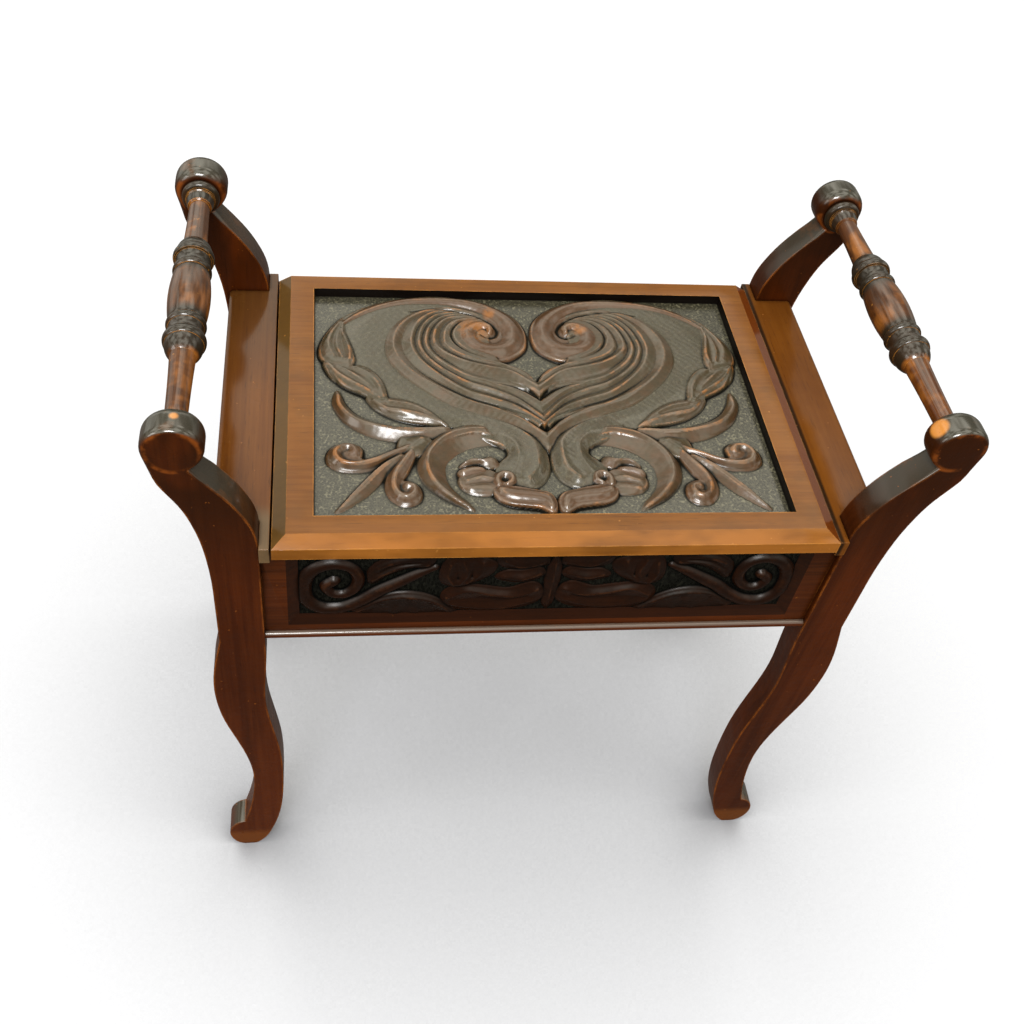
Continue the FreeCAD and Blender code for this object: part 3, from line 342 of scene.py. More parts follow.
def new_finish(name):
    material = bpy.data.materials.new(name)
    material.use_nodes = True
    tree = material.node_tree
    return material, Bench(tree), tree.nodes["Principled BSDF"], tree.nodes


def rgb(r, g, b):
    return (r, g, b, 1)


def faded(tone, share):
    """A tone darkened or lightened by a share."""
    return rgb(*(min(c * share, 1) for c in tone))


def lie_polish(bench, surface, coat, kept_off, upright=0.015, ior=1.6):
    """Polish built up on what lies flat, thin on upright faces and worn out of corners."""
    upward = bench.facing()["Z"]
    thick = bench.ramp(upward, 0.15, 0.9, upright, coat)
    bench.link(bench.times(thick, bench.maths("SUBTRACT", 1.0, kept_off)),
               surface.inputs["Coat Weight"])
    surface.inputs["Specular IOR Level"].default_value = 0.06
    surface.inputs["Coat IOR"].default_value = ior
    return upward


def board_finish(name, tones, grain="z", wear=0.8, reach=0.0016, dirt_and_painted_shade=0.7, coat=0.9, ior=1.6,
                 figured=0.4, use=None):
    """A polished board: three tones along the grain, rubbed arrises, corners darkened by grime and
    painted shade.
    """
    deep, warm, pale, worn = tones
    material, bench, surface, nodes = new_finish(name)
    where = nodes.new("ShaderNodeTexCoord").outputs["Object"]
    along = bench.stretch(where, (1, 1, 1), turn=GRAIN_TURN[grain])
    figure, streaks, pores = bench.group(GRAIN, Vector=along)
    cloud, dents, chips = bench.group(HANDLING, Vector=where)
    rubbed = bench.group(WEAR, Vector=where, Reach=reach, Amount=wear)[0]
    dirt_and_shade_mask = bench.group(GRIME_AND_SHADE, Amount=dirt_and_painted_shade)[0]
    upward = lie_polish(bench, surface, coat, dirt_and_shade_mask, ior=ior)
    surface.inputs["Coat Roughness"].default_value = 0.13
    colour = bench.mix(figure, rgb(*deep), rgb(*warm))
    colour = bench.mix(bench.times(streaks, figured), colour, rgb(*pale))
    colour = bench.mix(bench.times(cloud, 0.45), colour, rgb(*deep))
    colour = bench.mix(bench.times(pores, 0.35), colour, faded(deep, 0.25))
    if use:
        colour = use(bench, nodes, where, upward, cloud, colour)
    bare = bench.times(bench.maths("MAXIMUM", rubbed, bench.times(chips, 0.5)), 1.0, clamp=True)
    colour = bench.mix(bare, colour, rgb(*worn))
    # Grime and painted shade: darker where ambient occlusion finds corners.
    colour = bench.mix(dirt_and_shade_mask, colour, faded(deep, 0.12))
    # Painted shade: the walls of a sunk panel, and partly the front rail's bevels, go near black.
    colour = bench.mix(bench.mark("sunk"), colour, rgb(0.006, 0.004, 0.003))
    bench.link(colour, surface.inputs["Base Color"])
    rough = bench.maths("ADD", bench.times(cloud, 0.12), 0.27)
    rough = bench.maths("ADD", rough, bench.times(rubbed, 0.18))
    bench.link(bench.maths("ADD", rough, bench.times(dirt_and_shade_mask, 0.3)), surface.inputs["Roughness"])
    pitted = bench.maths("ADD", pores, chips)
    fine = bench.bump(bench.maths("SUBTRACT", bench.times(streaks, 0.35), pitted), 0.00005)
    bench.link(bench.bump(dents, 0.0006, 1.0, fine), surface.inputs["Normal"])
    return material


def leg_wear_and_painted_reflection(bench, nodes, where, upward, cloud, colour):
    """Legs: a painted reflection, olive-grey, on top of the curves; near black on the rolls; rubbed
    where hands slip off.
    """
    height = bench.axes(where)["Z"]
    high = bench.ramp(height, 0.44, 0.56)
    glow = bench.ramp(bench.noise(bench.stretch(where, (1, 1, 0.5)), 21, 3, 0.6), 0.48, 0.68)
    darkened = bench.times(high, bench.maths("SUBTRACT", 0.82, bench.times(glow, 0.55)))
    colour = bench.mix(darkened, colour, rgb(0.026, 0.0075, 0.0018))
    # Painted reflection: faces turned upwards go olive-grey, as the room mirrored in the polish.
    top = bench.ramp(upward, 0.25, 0.8)
    colour = bench.mix(bench.times(top, 0.85), colour, rgb(0.042, 0.041, 0.026))
    patches = bench.ramp(bench.noise(where, 42, 3, 0.6), 0.56, 0.66)
    colour = bench.mix(bench.times(bench.times(patches, top), 0.35), colour,
                       rgb(0.20, 0.066, 0.014))
    # The rim of a roll's face, at either side.
    mirrored = nodes.new("ShaderNodeVectorMath")
    mirrored.operation = "ABSOLUTE"
    bench.link(bench.stretch(where, (1, 0, 1)), mirrored.inputs[0])
    middle = (ROLL[0] * MM, 0, ROLL[1] * MM)
    disc, core = (bench.near(mirrored.outputs["Vector"], middle, full, none)
                  for full, none in ((0.0192, 0.0212), (0.0155, 0.0185)))
    rim = bench.times(bench.maths("SUBTRACT", disc, core),
                      bench.ramp(bench.noise(where, 55, 3, 0.6), 0.42, 0.6))
    rim = bench.times(rim, bench.maths("SUBTRACT", 1.0, top), clamp=True)
    colour = bench.mix(bench.times(rim, 0.7), colour, rgb(0.30, 0.075, 0.010))
    toe = bench.times(bench.ramp(height, 0.020, 0.034, 1.0, 0.0),
                      bench.maths("SUBTRACT", 1.0, top))
    colour = bench.mix(bench.times(toe, 0.55), colour, rgb(0.26, 0.078, 0.012))
    # Polish worn through to the bare wood on the front rolls.
    spot = bench.maths("MAXIMUM", bench.near(where, (0.2640, -0.1450, 0.6075), 0.006, 0.0095),
                       bench.near(where, (-0.2800, -0.1450, 0.6155), 0.0015, 0.004))
    return bench.mix(bench.times(spot, bench.ramp(cloud, 0.0, 0.4, 0.6, 1.0)), colour,
                     rgb(0.80, 0.31, 0.055))


def rail_painted_highlight(bench, nodes, where, upward, cloud, colour):
    """Rails: a painted highlight, light grey, on the thin upper side of a bead or bevel."""
    # Painted highlight on faces turned up, below the panel.
    top = bench.times(bench.ramp(upward, 0.35, 0.9),
                      bench.ramp(bench.axes(where)["Z"], 0.40, 0.42, 0.85, 0.0))
    return bench.mix(top, colour, rgb(0.20, 0.15, 0.12))


def lid_stains_and_painted_light(bench, nodes, where, upward, cloud, colour):
    """Lid: stains; the front bevel lighter from wear and painted light; the left bevel a painted
    olive reflection; the right one painted darker red as its shaded side.
    """
    facing = bench.facing()
    stains = bench.ramp(bench.noise(bench.stretch(where, (0.5, 1, 1)), 17, 4, 0.65), 0.46, 0.68)
    colour = bench.mix(bench.times(stains, 0.5), colour, rgb(0.125, 0.048, 0.010))
    # Wear and painted light: the front-facing bevel turns lighter orange in worn patches.
    worn = bench.ramp(bench.noise(bench.stretch(where, (0.4, 1, 1)), 24, 3, 0.6), 0.35, 0.6)
    front = bench.times(bench.ramp(facing["Y"], -0.35, -0.12, 0.65, 0.0), worn)
    colour = bench.mix(front, colour, rgb(0.50, 0.18, 0.028))
    # Painted reflection: the left-facing bevel goes olive.
    colour = bench.mix(bench.ramp(facing["X"], -0.35, -0.12, 0.75, 0.0), colour,
                       rgb(0.085, 0.056, 0.018))
    # Painted shade: the right-facing bevel goes darker red.
    return bench.mix(bench.ramp(facing["X"], 0.12, 0.35, 0.0, 0.8), colour,
                     rgb(0.17, 0.034, 0.005))


def seat_tones_and_painted_shade(bench, nodes, where, upward, cloud, colour):
    """Seat boards: darker towards the back on the left, olive in front, grime and painted shade in
    the gap next to the lid.
    """
    place = bench.axes(where)
    back = bench.times(bench.ramp(place["Y"], -0.02, 0.15),
                       bench.ramp(place["X"], -0.1, 0.1, 1.0, 0.25))
    colour = bench.mix(bench.times(back, 0.5), colour, rgb(0.060, 0.034, 0.013))
    end = bench.times(bench.ramp(place["Y"], -0.135, -0.115, 0.6, 0.0),
                      bench.ramp(place["X"], -0.1, 0.1, 1.0, 0.0))
    colour = bench.mix(end, colour, rgb(0.19, 0.15, 0.085))
    # Grime and painted shade: a dark line on the right board along the gap next to the lid.
    gap_grime_and_shade = bench.maths("ADD", bench.ramp(place["X"], 0.2250, 0.2275, 1.0, 0.0),
                         bench.ramp(place["X"], 0.0, 0.1, -1.0, 0.0))
    return bench.mix(bench.times(gap_grime_and_shade, 0.9, clamp=True), colour, rgb(0.012, 0.007, 0.003))


def turned_use(bench, nodes, where, upward, cloud, colour):
    """Handrails: rings and flares stay dark, the shafts and the barrel's belly wear tan."""
    tone = bench.mark("tone")
    long = bench.noise(bench.stretch(where, (1, 0.2, 1)), 100, 3, 0.55)
    patches = bench.times(bench.ramp(long, 0.36, 0.62),
                          bench.ramp(bench.noise(where, 34, 3, 0.6), 0.42, 0.62))
    mottled = bench.times(bench.ramp(bench.noise(where, 28, 2, 0.5), 0.45, 0.7), 0.4)
    dark = bench.mix(mottled, rgb(0.020, 0.016, 0.009), rgb(0.075, 0.032, 0.014))
    colour = bench.mix(bench.times(bench.maths("SUBTRACT", 1.0, tone), 0.95), colour, dark)
    colour = bench.mix(bench.ramp(long, 0.58, 0.38, 0.0, 0.40), colour, rgb(0.036, 0.015, 0.006))
    return bench.mix(bench.times(bench.times(patches, tone), 0.8), colour,
                     rgb(0.44, 0.15, 0.024))


def carved_finish(name, tones, upright, ior, soft, pale=0.0, glows=()):
    """Carving: punched ground with painted speckle highlights, dark hollows of grime and painted
    shade, reddish leaves, crests rubbed to gold and given painted highlights.
    """
    ground, leaf, warm, worn = tones
    material, bench, surface, nodes = new_finish(name)
    where = nodes.new("ShaderNodeTexCoord").outputs["Object"]
    punch, tone, crest, hollow_dirt_and_shade = (bench.mark(m) for m in ("punch", "tone", "crest", "hollow_dirt_and_shade"))
    streaks = bench.group(GRAIN, Vector=bench.stretch(
        where, (1, 1, 1), (0.3, 0.1, 0), GRAIN_TURN["x"]))[1]
    cloud, dents, _ = bench.group(HANDLING, Vector=where)
    dots = nodes.new("ShaderNodeTexVoronoi")
    dots.feature = "SMOOTH_F1"
    dots.inputs["Scale"].default_value = 600
    dots.inputs["Smoothness"].default_value = 0.2
    bench.link(bench.stretch(where, (1, 1, 0.3)), dots.inputs["Vector"])
    dimple = bench.ramp(dots.outputs["Distance"], 0.15, 0.6)
    worked = bench.noise(where, 90, 4, 0.6)
    uneven = bench.times(bench.maths("SUBTRACT", worked, 0.5), 0.9)
    colour = bench.mix(bench.ramp(bench.maths("ADD", tone, uneven), 0.1, 0.9),
                       rgb(*leaf), rgb(*warm))
    colour = bench.mix(bench.times(streaks, 0.3), colour, faded(leaf, 0.55))
    colour = bench.mix(punch, colour, rgb(*ground))
    sunk = bench.times(bench.maths("SUBTRACT", 1.0, dimple), 0.45)
    colour = bench.mix(bench.times(punch, sunk), colour, faded(ground, 0.4))
    # Painted highlight: light speckles between the punch marks.
    raised = bench.times(bench.ramp(dots.outputs["Distance"], 0.55, 0.8),
                         bench.ramp(bench.noise(where, 260, 2, 0.5), 0.45, 0.6))
    colour = bench.mix(bench.times(bench.times(raised, punch), 0.55), colour, faded(ground, 3.2))
    patches = bench.ramp(bench.noise(where, 55, 4, 0.65), 0.46, 0.62)
    rubbed = bench.times(bench.ramp(crest, 0.45, 1.0), patches)
    colour = bench.mix(bench.times(rubbed, 0.6), colour, rgb(*worn))
    # Painted highlight: pale lines along the crests, in a share set by pale.
    light = bench.times(bench.ramp(crest, 0.3, 1.0), bench.ramp(
        bench.noise(where, 26, 3, 0.6), 0.38, 0.6, 0.0, pale))
    colour = bench.mix(light, colour, rgb(0.26, 0.19, 0.135))
    for place, reach in glows:
        near = bench.near(where, place, reach * 0.35, reach)
        colour = bench.mix(bench.times(near, bench.ramp(worked, 0.38, 0.56, 0.1, 0.75)), colour,
                           faded(worn, 0.8))
    # Grime and painted shade: dark in the valleys, round the feet of the forms and at the panel's
    # edges.
    colour = bench.mix(bench.ramp(hollow_dirt_and_shade, 0.22, 0.95), colour, faded(ground, 0.10))
    bench.link(colour, surface.inputs["Base Color"])
    rough = bench.maths("ADD", bench.times(cloud, 0.12), 0.25)
    rough = bench.maths("ADD", rough, bench.times(punch, 0.08))
    bench.link(bench.maths("ADD", rough, bench.times(hollow_dirt_and_shade, 0.25)), surface.inputs["Roughness"])
    lie_polish(bench, surface, 1.0, bench.times(hollow_dirt_and_shade, 0.8, clamp=True), upright, ior)
    surface.inputs["Coat Roughness"].default_value = soft
    punched = bench.bump(bench.times(dimple, punch), 0.0012)
    cut = bench.bump(bench.maths("ADD", dents, bench.times(streaks, 0.08)), 0.0008, 1.0, punched)
    bench.link(cut, surface.inputs["Normal"])
    return material


def bare_finish(name, deep, pale, grain="x"):
    """Unpolished inner wood, dusty and aged, its corners darkened by grime and painted shade."""
    material, bench, surface, nodes = new_finish(name)
    where = nodes.new("ShaderNodeTexCoord").outputs["Object"]
    along = bench.stretch(where, (1, 1, 1), (0.2, 0.5, 0), GRAIN_TURN[grain])
    figure, streaks, pores = bench.group(GRAIN, Vector=along, Coarse=22.0)
    dirt_and_shade_mask = bench.group(GRIME_AND_SHADE, Reach=0.02, Amount=0.8)[0]
    colour = bench.mix(figure, rgb(*deep), rgb(*pale))
    colour = bench.mix(bench.times(streaks, 0.5), colour, faded(pale, 0.7))
    # Grime and painted shade: darker where ambient occlusion finds corners.
    colour = bench.mix(dirt_and_shade_mask, colour, faded(deep, 0.25))
    bench.link(colour, surface.inputs["Base Color"])
    bench.link(bench.maths("ADD", bench.times(streaks, 0.15), 0.62),
               surface.inputs["Roughness"])
    bench.link(bench.bump(bench.maths("SUBTRACT", streaks, pores), 0.0001),
               surface.inputs["Normal"])
    return material


def metal_finish(name, bright, dull, rough):
    material, bench, surface, nodes = new_finish(name)
    where = nodes.new("ShaderNodeTexCoord").outputs["Object"]
    spots = bench.ramp(bench.noise(where, 160, 5, 0.7), 0.35, 0.68)
    brushed = bench.noise(bench.stretch(where, (0.1, 1, 1)), 900, 2, 0.5)
    dirt_and_shade_mask = bench.group(GRIME_AND_SHADE, Reach=0.003, Amount=0.8)[0]
    colour = bench.mix(spots, rgb(*bright), rgb(*dull))
    # Grime and painted shade: darker and duller where ambient occlusion finds corners.
    colour = bench.mix(dirt_and_shade_mask, colour, faded(dull, 0.2))
    bench.link(colour, surface.inputs["Base Color"])
    bench.link(bench.maths("SUBTRACT", 1.0, bench.times(dirt_and_shade_mask, 0.5)),
               surface.inputs["Metallic"])
    bench.link(bench.maths("ADD", bench.times(spots, 0.25), rough),
               surface.inputs["Roughness"])
    bench.link(bench.bump(brushed, 0.00003), surface.inputs["Normal"])
    return material


# Carving

def at(points, *heights):
    """The same points with heights spread evenly along them."""
    along = np.interp(np.linspace(0, 1, len(points)), np.linspace(0, 1, len(heights)), heights)
    return [(x, y, h) for (x, y), h in zip(points, along)]


def flow(points, closed=False, step=0.6):
    """A smooth line through given points."""
    points = np.array(points, float)
    count = len(points)

    def pick(i):
        return points[i % count] if closed else points[min(max(i, 0), count - 1)]

    def gap(p, q):
        return max(math.sqrt(math.hypot(*(q - p)[:2])), 1e-4)

    line = []
    for i in range(count if closed else count - 1):
        a, b, c, d = (pick(i + k) for k in (-1, 0, 1, 2))
        before, here, after = gap(a, b), gap(b, c), gap(c, d)
        start = end = c - b
        if closed or i > 0:
            start = (c - b) + here * ((b - a) / before - (c - a) / (before + here))
        if closed or i < count - 2:
            end = (c - b) + here * ((d - c) / after - (d - b) / (here + after))
        steps = max(2, int(math.hypot(*(c - b)[:2]) / step))
        t = (np.arange(steps) / steps)[:, None]
        line.append((2 * t**3 - 3 * t**2 + 1) * b + (t**3 - 2 * t**2 + t) * start
                    + (3 * t**2 - 2 * t**3) * c + (t**3 - t**2) * end)
    if not closed:
        line.append(points[-1:])
    return np.concatenate(line)


def nearest(line, cells):
    """Distance from each cell to a line, and what the line says there."""
    tree = KDTree(len(line))
    for i, point in enumerate(line):
        tree.insert((point[0], point[1], 0), i)
    tree.balance()
    found = [tree.find((x, y, 0)) for x, y in cells]
    index = np.array([f[1] for f in found], int)
    return np.array([f[2] for f in found]), line[index, 2:]


def inside(edge, cells):
    x, y = cells[:, 0], cells[:, 1]
    within = np.zeros(len(cells), bool)
    for (x0, y0), (x1, y1) in zip(edge, np.roll(edge, -1, 0)):
        if y0 != y1:
            crosses = (y0 > y) != (y1 > y)
            within ^= crosses & (x < (x1 - x0) * (y - y0) / (y1 - y0) + x0)
    return within


def blurred(field, reach):
    """Gaussian blur by reach cells."""
    taps = np.arange(-int(3 * reach) - 1, int(3 * reach) + 2)
    weights = np.exp(-0.5 * (taps / reach) ** 2)
    weights /= weights.sum()
    for axis in (0, 1):
        pad = [(0, 0), (0, 0)]
        pad[axis] = (len(taps) // 2, len(taps) // 2)
        wide = np.pad(field, pad, mode="edge")
        size = field.shape[axis]
        field = sum(w * np.take(wide, range(i, i + size), axis) for i, w in enumerate(weights))
    return field


class Panel:
    """A carved panel as heights over a grid, in mm."""

    def __init__(self, low, high, cell):
        counts = [round((b - a) / cell) + 1 for a, b in zip(low, high)]
        self.across = np.linspace(low[0], high[0], counts[0])
        self.along = np.linspace(low[1], high[1], counts[1])
        self.x, self.y = np.meshgrid(self.across, self.along)
        self.height = np.zeros_like(self.x)
        self.punch = np.ones_like(self.x)
        self.tone = np.zeros_like(self.x)
        self.cell = cell

    def near(self, line, reach):
        low, high = line[:, :2].min(0) - reach, line[:, :2].max(0) + reach
        spots = np.nonzero((self.x >= low[0]) & (self.x <= high[0])
                           & (self.y >= low[1]) & (self.y <= high[1]))
        return spots, np.column_stack([self.x[spots], self.y[spots]])

    def lay(self, spots, raised, tone, punch):
        over = raised > self.height[spots]
        rows, columns = spots[0][over], spots[1][over]
        self.height[rows, columns] = raised[over]
        self.tone[rows, columns] = tone
        self.punch[rows, columns] = punch

    def form(self, outline, ridges=(), hollows=(), keen=1.7, wall=1.6, tone=0.3, punch=0.0):
        """A raised shape: edge, crests and valleys given as lines with heights."""
        edge = flow(outline, closed=True)
        spots, cells = self.near(edge, wall)
        distance, height = nearest(edge, cells)
        side = np.where(inside(edge[::2, :2], cells), distance, -distance)
        kept = side > -wall
        spots = (spots[0][kept], spots[1][kept])
        cells, side = cells[kept], side[kept]
        lines = [(distance[kept], height[kept, 0])]
        for line in (*ridges, *hollows):
            away, level = nearest(flow(line), cells)
            lines.append((away, level[:, 0]))
        weights = [1 / (away + 0.05) ** keen for away, _ in lines]
        raised = sum(w * level for w, (_, level) in zip(weights, lines)) / sum(weights)
        fade = np.clip(1 + side / wall, 0, 1)
        self.lay(spots, raised * fade * fade * (3 - 2 * fade), tone, punch)

    def stem(self, points, tone=0.3, keen=2.0, punch=0.0):
        """A rounded stem along a line: points are (x, y, half width, height)."""
        line = flow(points)
        spots, cells = self.near(line, line[:, 2].max())
        away, size = nearest(line, cells)
        share = np.clip(away / size[:, 0], 0, 1)
        self.lay(spots, size[:, 1] * (1 - share ** keen), tone, punch)

    def score(self, points, width, depth):
        """A gouge cut along a line of (x, y, strength)."""
        line = flow(points)
        spots, cells = self.near(line, width)
        away, strength = nearest(line, cells)
        strength = np.clip(strength[:, 0], 0.05, 1)
        share = np.clip(away / (width * np.sqrt(strength)), 0, 1)
        cut = depth * strength * (1 - share) ** 1.3
        self.height[spots] = np.maximum(self.height[spots] - cut, 0)

    def finish(self, wave):
        """Knife marks, then how proud each spot stands and how deep it lies, which the finish
        darkens with grime and painted shade.
        """
        self.height = blurred(self.height, 0.55)
        marks = np.sin(self.x * 0.9 + 1.3 * np.sin(self.y * 0.31)) * np.sin(self.y * 0.7)
        self.height += wave * marks * np.clip(self.height, 0, 3) / 3
        fine = self.height - blurred(self.height, 1.6 / self.cell)
        wide = self.height - blurred(self.height, 4.5 / self.cell)
        self.crest = np.clip(fine / 0.45, 0, 1) * (self.height > 2)
        # How deep a spot lies in a valley, at a form's foot or by the panel's edge: grime and
        # painted shade in the finish.
        self.hollow_dirt_and_shade = np.clip(-fine / 1.0, 0, 1) + np.clip((-wide - 0.5) / 4.0, 0, 0.6)
        rim = np.minimum(self.x - self.x.min(), np.minimum(self.y - self.y.min(),
                                                           self.y.max() - self.y))
        self.hollow_dirt_and_shade += np.clip(1 - rim / 1.8, 0, 1)


def panel_mesh(panel, name, lift, mirrored=False):
    """A closed slab whose face carries the heights. lift(x, y, height) gives its points."""
    x, y, h = panel.x.copy(), panel.y, panel.height
    if mirrored:
        x = -x
        edge = np.minimum(np.minimum(-panel.x, panel.x - panel.x.min()),
                          np.minimum(y.max() - y, y - y.min()))
        sway = np.clip(edge / 12, 0, 1)
        x = x + sway * 0.9 * np.sin(y * 0.045 + 1.0)
        y = y + sway * 0.8 * np.sin(x * 0.05)
    rows, columns = h.shape
    top = lift(x, y, h).reshape(-1, 3)
    grid = np.arange(rows * columns).reshape(rows, columns)
    rim = np.concatenate([grid[0, :-1], grid[:-1, -1], grid[-1, :0:-1], grid[:0:-1, 0]])
    low = lift(x, y, np.full_like(h, -0.5)).reshape(-1, 3)[rim]
    points = np.vstack([top, low])
    quads = np.stack([grid[:-1, :-1], grid[:-1, 1:], grid[1:, 1:], grid[1:, :-1]], -1).reshape(-1,
                                                                                               4)
    foot = rows * columns + np.arange(len(rim))
    skirt = np.stack([foot, np.roll(foot, -1), np.roll(rim, -1), rim], -1)
    faces = [tuple(f) for f in np.vstack([quads, skirt]).tolist()] + [tuple(foot[::-1].tolist())]
    mesh = bpy.data.meshes.new(name)
    mesh.from_pydata((points * MM).tolist(), [], faces)
    for label, field in (("punch", panel.punch), ("tone", panel.tone),
                         ("crest", panel.crest), ("hollow_dirt_and_shade", panel.hollow_dirt_and_shade)):
        values = np.concatenate([field.ravel(), np.ones(len(rim)) * (label == "hollow_dirt_and_shade")])
        attribute = mesh.attributes.new(label, "FLOAT", "POINT")
        attribute.data.foreach_set("value", values.astype(np.float32))
    mesh.shade_smooth()
    made = bpy.data.objects.new(name, mesh)
    SCENE.collection.objects.link(made)
    face_outwards(made)
    made.data.set_sharp_from_angle(angle=math.radians(82))
    return made


def face_outwards(made):
    """Turn every face of a closed piece outwards."""
    work = bmesh.new()
    work.from_mesh(made.data)
    bmesh.ops.recalc_face_normals(work, faces=work.faces)
    work.to_mesh(made.data)
    work.free()


# Crests of the six flutes of the left plume, each from under the scroll round to its V.
FLUTES = (
    ((-38, 98.5), (-55, 98.5), (-67, 93), (-74, 82), (-76, 64), (-71, 56), (-64, 50),
     (-52, 44.5), (-38, 40), (-24, 36), (-8, 24)),
    ((-38, 99.5), (-56, 102), (-72, 98), (-82, 86), (-85.5, 64), (-80, 54), (-72, 47),
     (-60, 39.5), (-42, 33), (-22, 27), (0, 8)),
    ((-39, 101), (-58, 104.5), (-76, 100), (-88, 87), (-93, 64), (-88, 49), (-78, 37),
     (-60, 22.5), (-42, 15), (-22, 5), (0, -14)),
    ((-42, 103.5), (-60, 107), (-80, 103), (-93, 89), (-99, 64), (-94, 47), (-82, 31),
     (-60, 13), (-40, 4), (-20, -8), (0, -30)),
    ((-48, 107), (-64, 110), (-84, 106), (-99, 91), (-106, 64), (-101, 45), (-88, 27),
     (-62, 3), (-42, -6), (-22, -15.5), (0, -34)),
    ((-58, 111), (-74, 112.5), (-94, 106), (-112, 91), (-121.5, 64), (-117, 42), (-101, 20),
     (-62, -9), (-40, -19), (-20, -30), (0, -52)),
)


def between(first, second, share=0.5):
    return [(a[0] + (b[0] - a[0]) * share, a[1] + (b[1] - a[1]) * share)
            for a, b in zip(first, second)]


def carve_plume(panel):
    """The fluted plume: three overlapping feathers, each ending in a V on the centre line."""
    valleys = [between(a, b, s) for a, b, s in zip(FLUTES, FLUTES[1:], (0.42, 0.5, 0.5, 0.5, 0.52))]
    rise = [at(line, 5.4, 7.2, *tops) for line, tops in zip(FLUTES, (
        (7.4, 7.2, 6.6), (7.6, 8.2, 8.3), (7.0, 7.0, 6.4), (7.8, 8.2, 8.2), (7.0, 7.4, 7.2),
        (7.6, 7.8, 8.2)))]
    fall = [at(line, 4.8, 4.9, 5.0, 5.0, *ends) for line, ends in zip(valleys, (
        (5.6, 6.0), (4.6, 2.6), (5.2, 4.6), (5.0, 5.0), (4.2, 2.4)))]
    outer = [(-36, 99), (-46, 108), (-60, 113.5), (-78, 115), (-97, 109.5), (-115, 94),
             (-125, 78), (-128.5, 60), (-126, 42), (-114, 22), (-98, 5), (-80, -10.5),
             (-60, -20.5), (-40, -31), (-24, -39), (-11, -48), (-3, -60), (4, -68)]
    panel.form(at(outer + [(4, -40)] + between(*FLUTES[4:6], 0.42)[::-1], 4.6, 4.8, 5.0, 5.0, 5.6,
                  5.2, 3.0, 4.6, 4.8), [rise[5]], keen=1.25, wall=2.0, tone=0.45)
    edge = valleys[4][:7] + [(-62, -1.5), (-44, -10), (-30, -15.5), (-22, -19), (-12, -24.5),
                             (-4, -31.5), (0, -37), (5, -42)]
    panel.form(at(edge + [(5, 0)] + between(*FLUTES[1:3], 0.4)[::-1], 5.0, 5.0, 5.2, 5.8, 6.4, 5, 3,
                  4.5, 4.8), [rise[2], rise[3], rise[4]], [fall[2], fall[3]], wall=1.6, tone=0.35)
    edge = valleys[1][:7] + [(-60, 28.5), (-45, 21.5), (-33, 16.5), (-22, 15), (-12, 11.5),
                             (-5, 5.5), (0, -1.5), (5, -7)]
    back = [(5, 14), (0, 15), (-6, 26), (-15, 34), (-28, 40.5), (-36, 60), (-36, 90)]
    panel.form(at(edge + back, 5.0, 5.0, 5.2, 5.8, 6.6, 6.0, 5.2, 5.0), [rise[0], rise[1]],
               [fall[0]], wall=1.6, tone=0.4)


def carve_scroll(panel):
    """The rolled head of the plume: a broad domed rim that turns in to a boss with a hooked eye."""
    plate = [(-112, 118), (-90, 128), (-70, 129), (-50, 126), (-35, 121), (-20, 112), (-9, 100),
             (-4, 88), (-3, 75), (-5.2, 62), (-12, 53.5), (-21, 47), (-30, 45), (-42, 48.5),
             (-54, 55), (-63, 65), (-67, 76), (-64, 86), (-56, 93), (-46, 98), (-47, 108),
             (-60, 114),
             (-78, 115), (-97, 109.5)]
    panel.form(at(plate, 3.4, 4.0), wall=1.5, tone=0.8)
    panel.stem([(-166, 90, 3.5, 4.6), (-154, 101, 6, 5.4), (-138, 111, 8, 6.0),
                (-122, 117.5, 8.5, 6.6),
                (-106, 121.3, 9, 7.2), (-88, 122.5, 9, 7.8), (-70, 122, 9.5, 8.2),
                (-52, 119, 10, 8.6),
                (-38, 113.5, 10.5, 8.6), (-26, 105, 11.2, 8.6), (-17.5, 94, 12.5, 8.6),
                (-14.2, 80, 13.5, 8.6), (-17, 67, 13.8, 8.6), (-26, 58.5, 14, 8.5),
                (-38, 57.5, 14, 8.4),
                (-49, 62, 14, 8.4), (-54.5, 71, 14, 8.3), (-54.5, 80, 13, 8.3), (-49, 87, 11, 8.4),
                (-41.5, 89.5, 9, 8.5), (-35.5, 86, 6.5, 8.6), (-35, 80.5, 4, 8.4)], tone=0.85,
                keen=1.7)
    panel.score(at([(-104, 108), (-84, 112), (-66, 110), (-50, 105.5), (-39, 99.5), (-31, 92),
                    (-28, 84),
                    (-31, 76.5), (-38, 74.5), (-43, 77.5)], 0.4, 0.8, 1, 1, 0.9, 0.7, 0.5), 3.4,
                    3.4)
    panel.score(at([(-44, 99), (-58, 96), (-67, 86), (-70, 75), (-66, 63), (-56, 53), (-42, 46)],
                   0.3, 1, 1, 0.3), 2.0, 2.6)


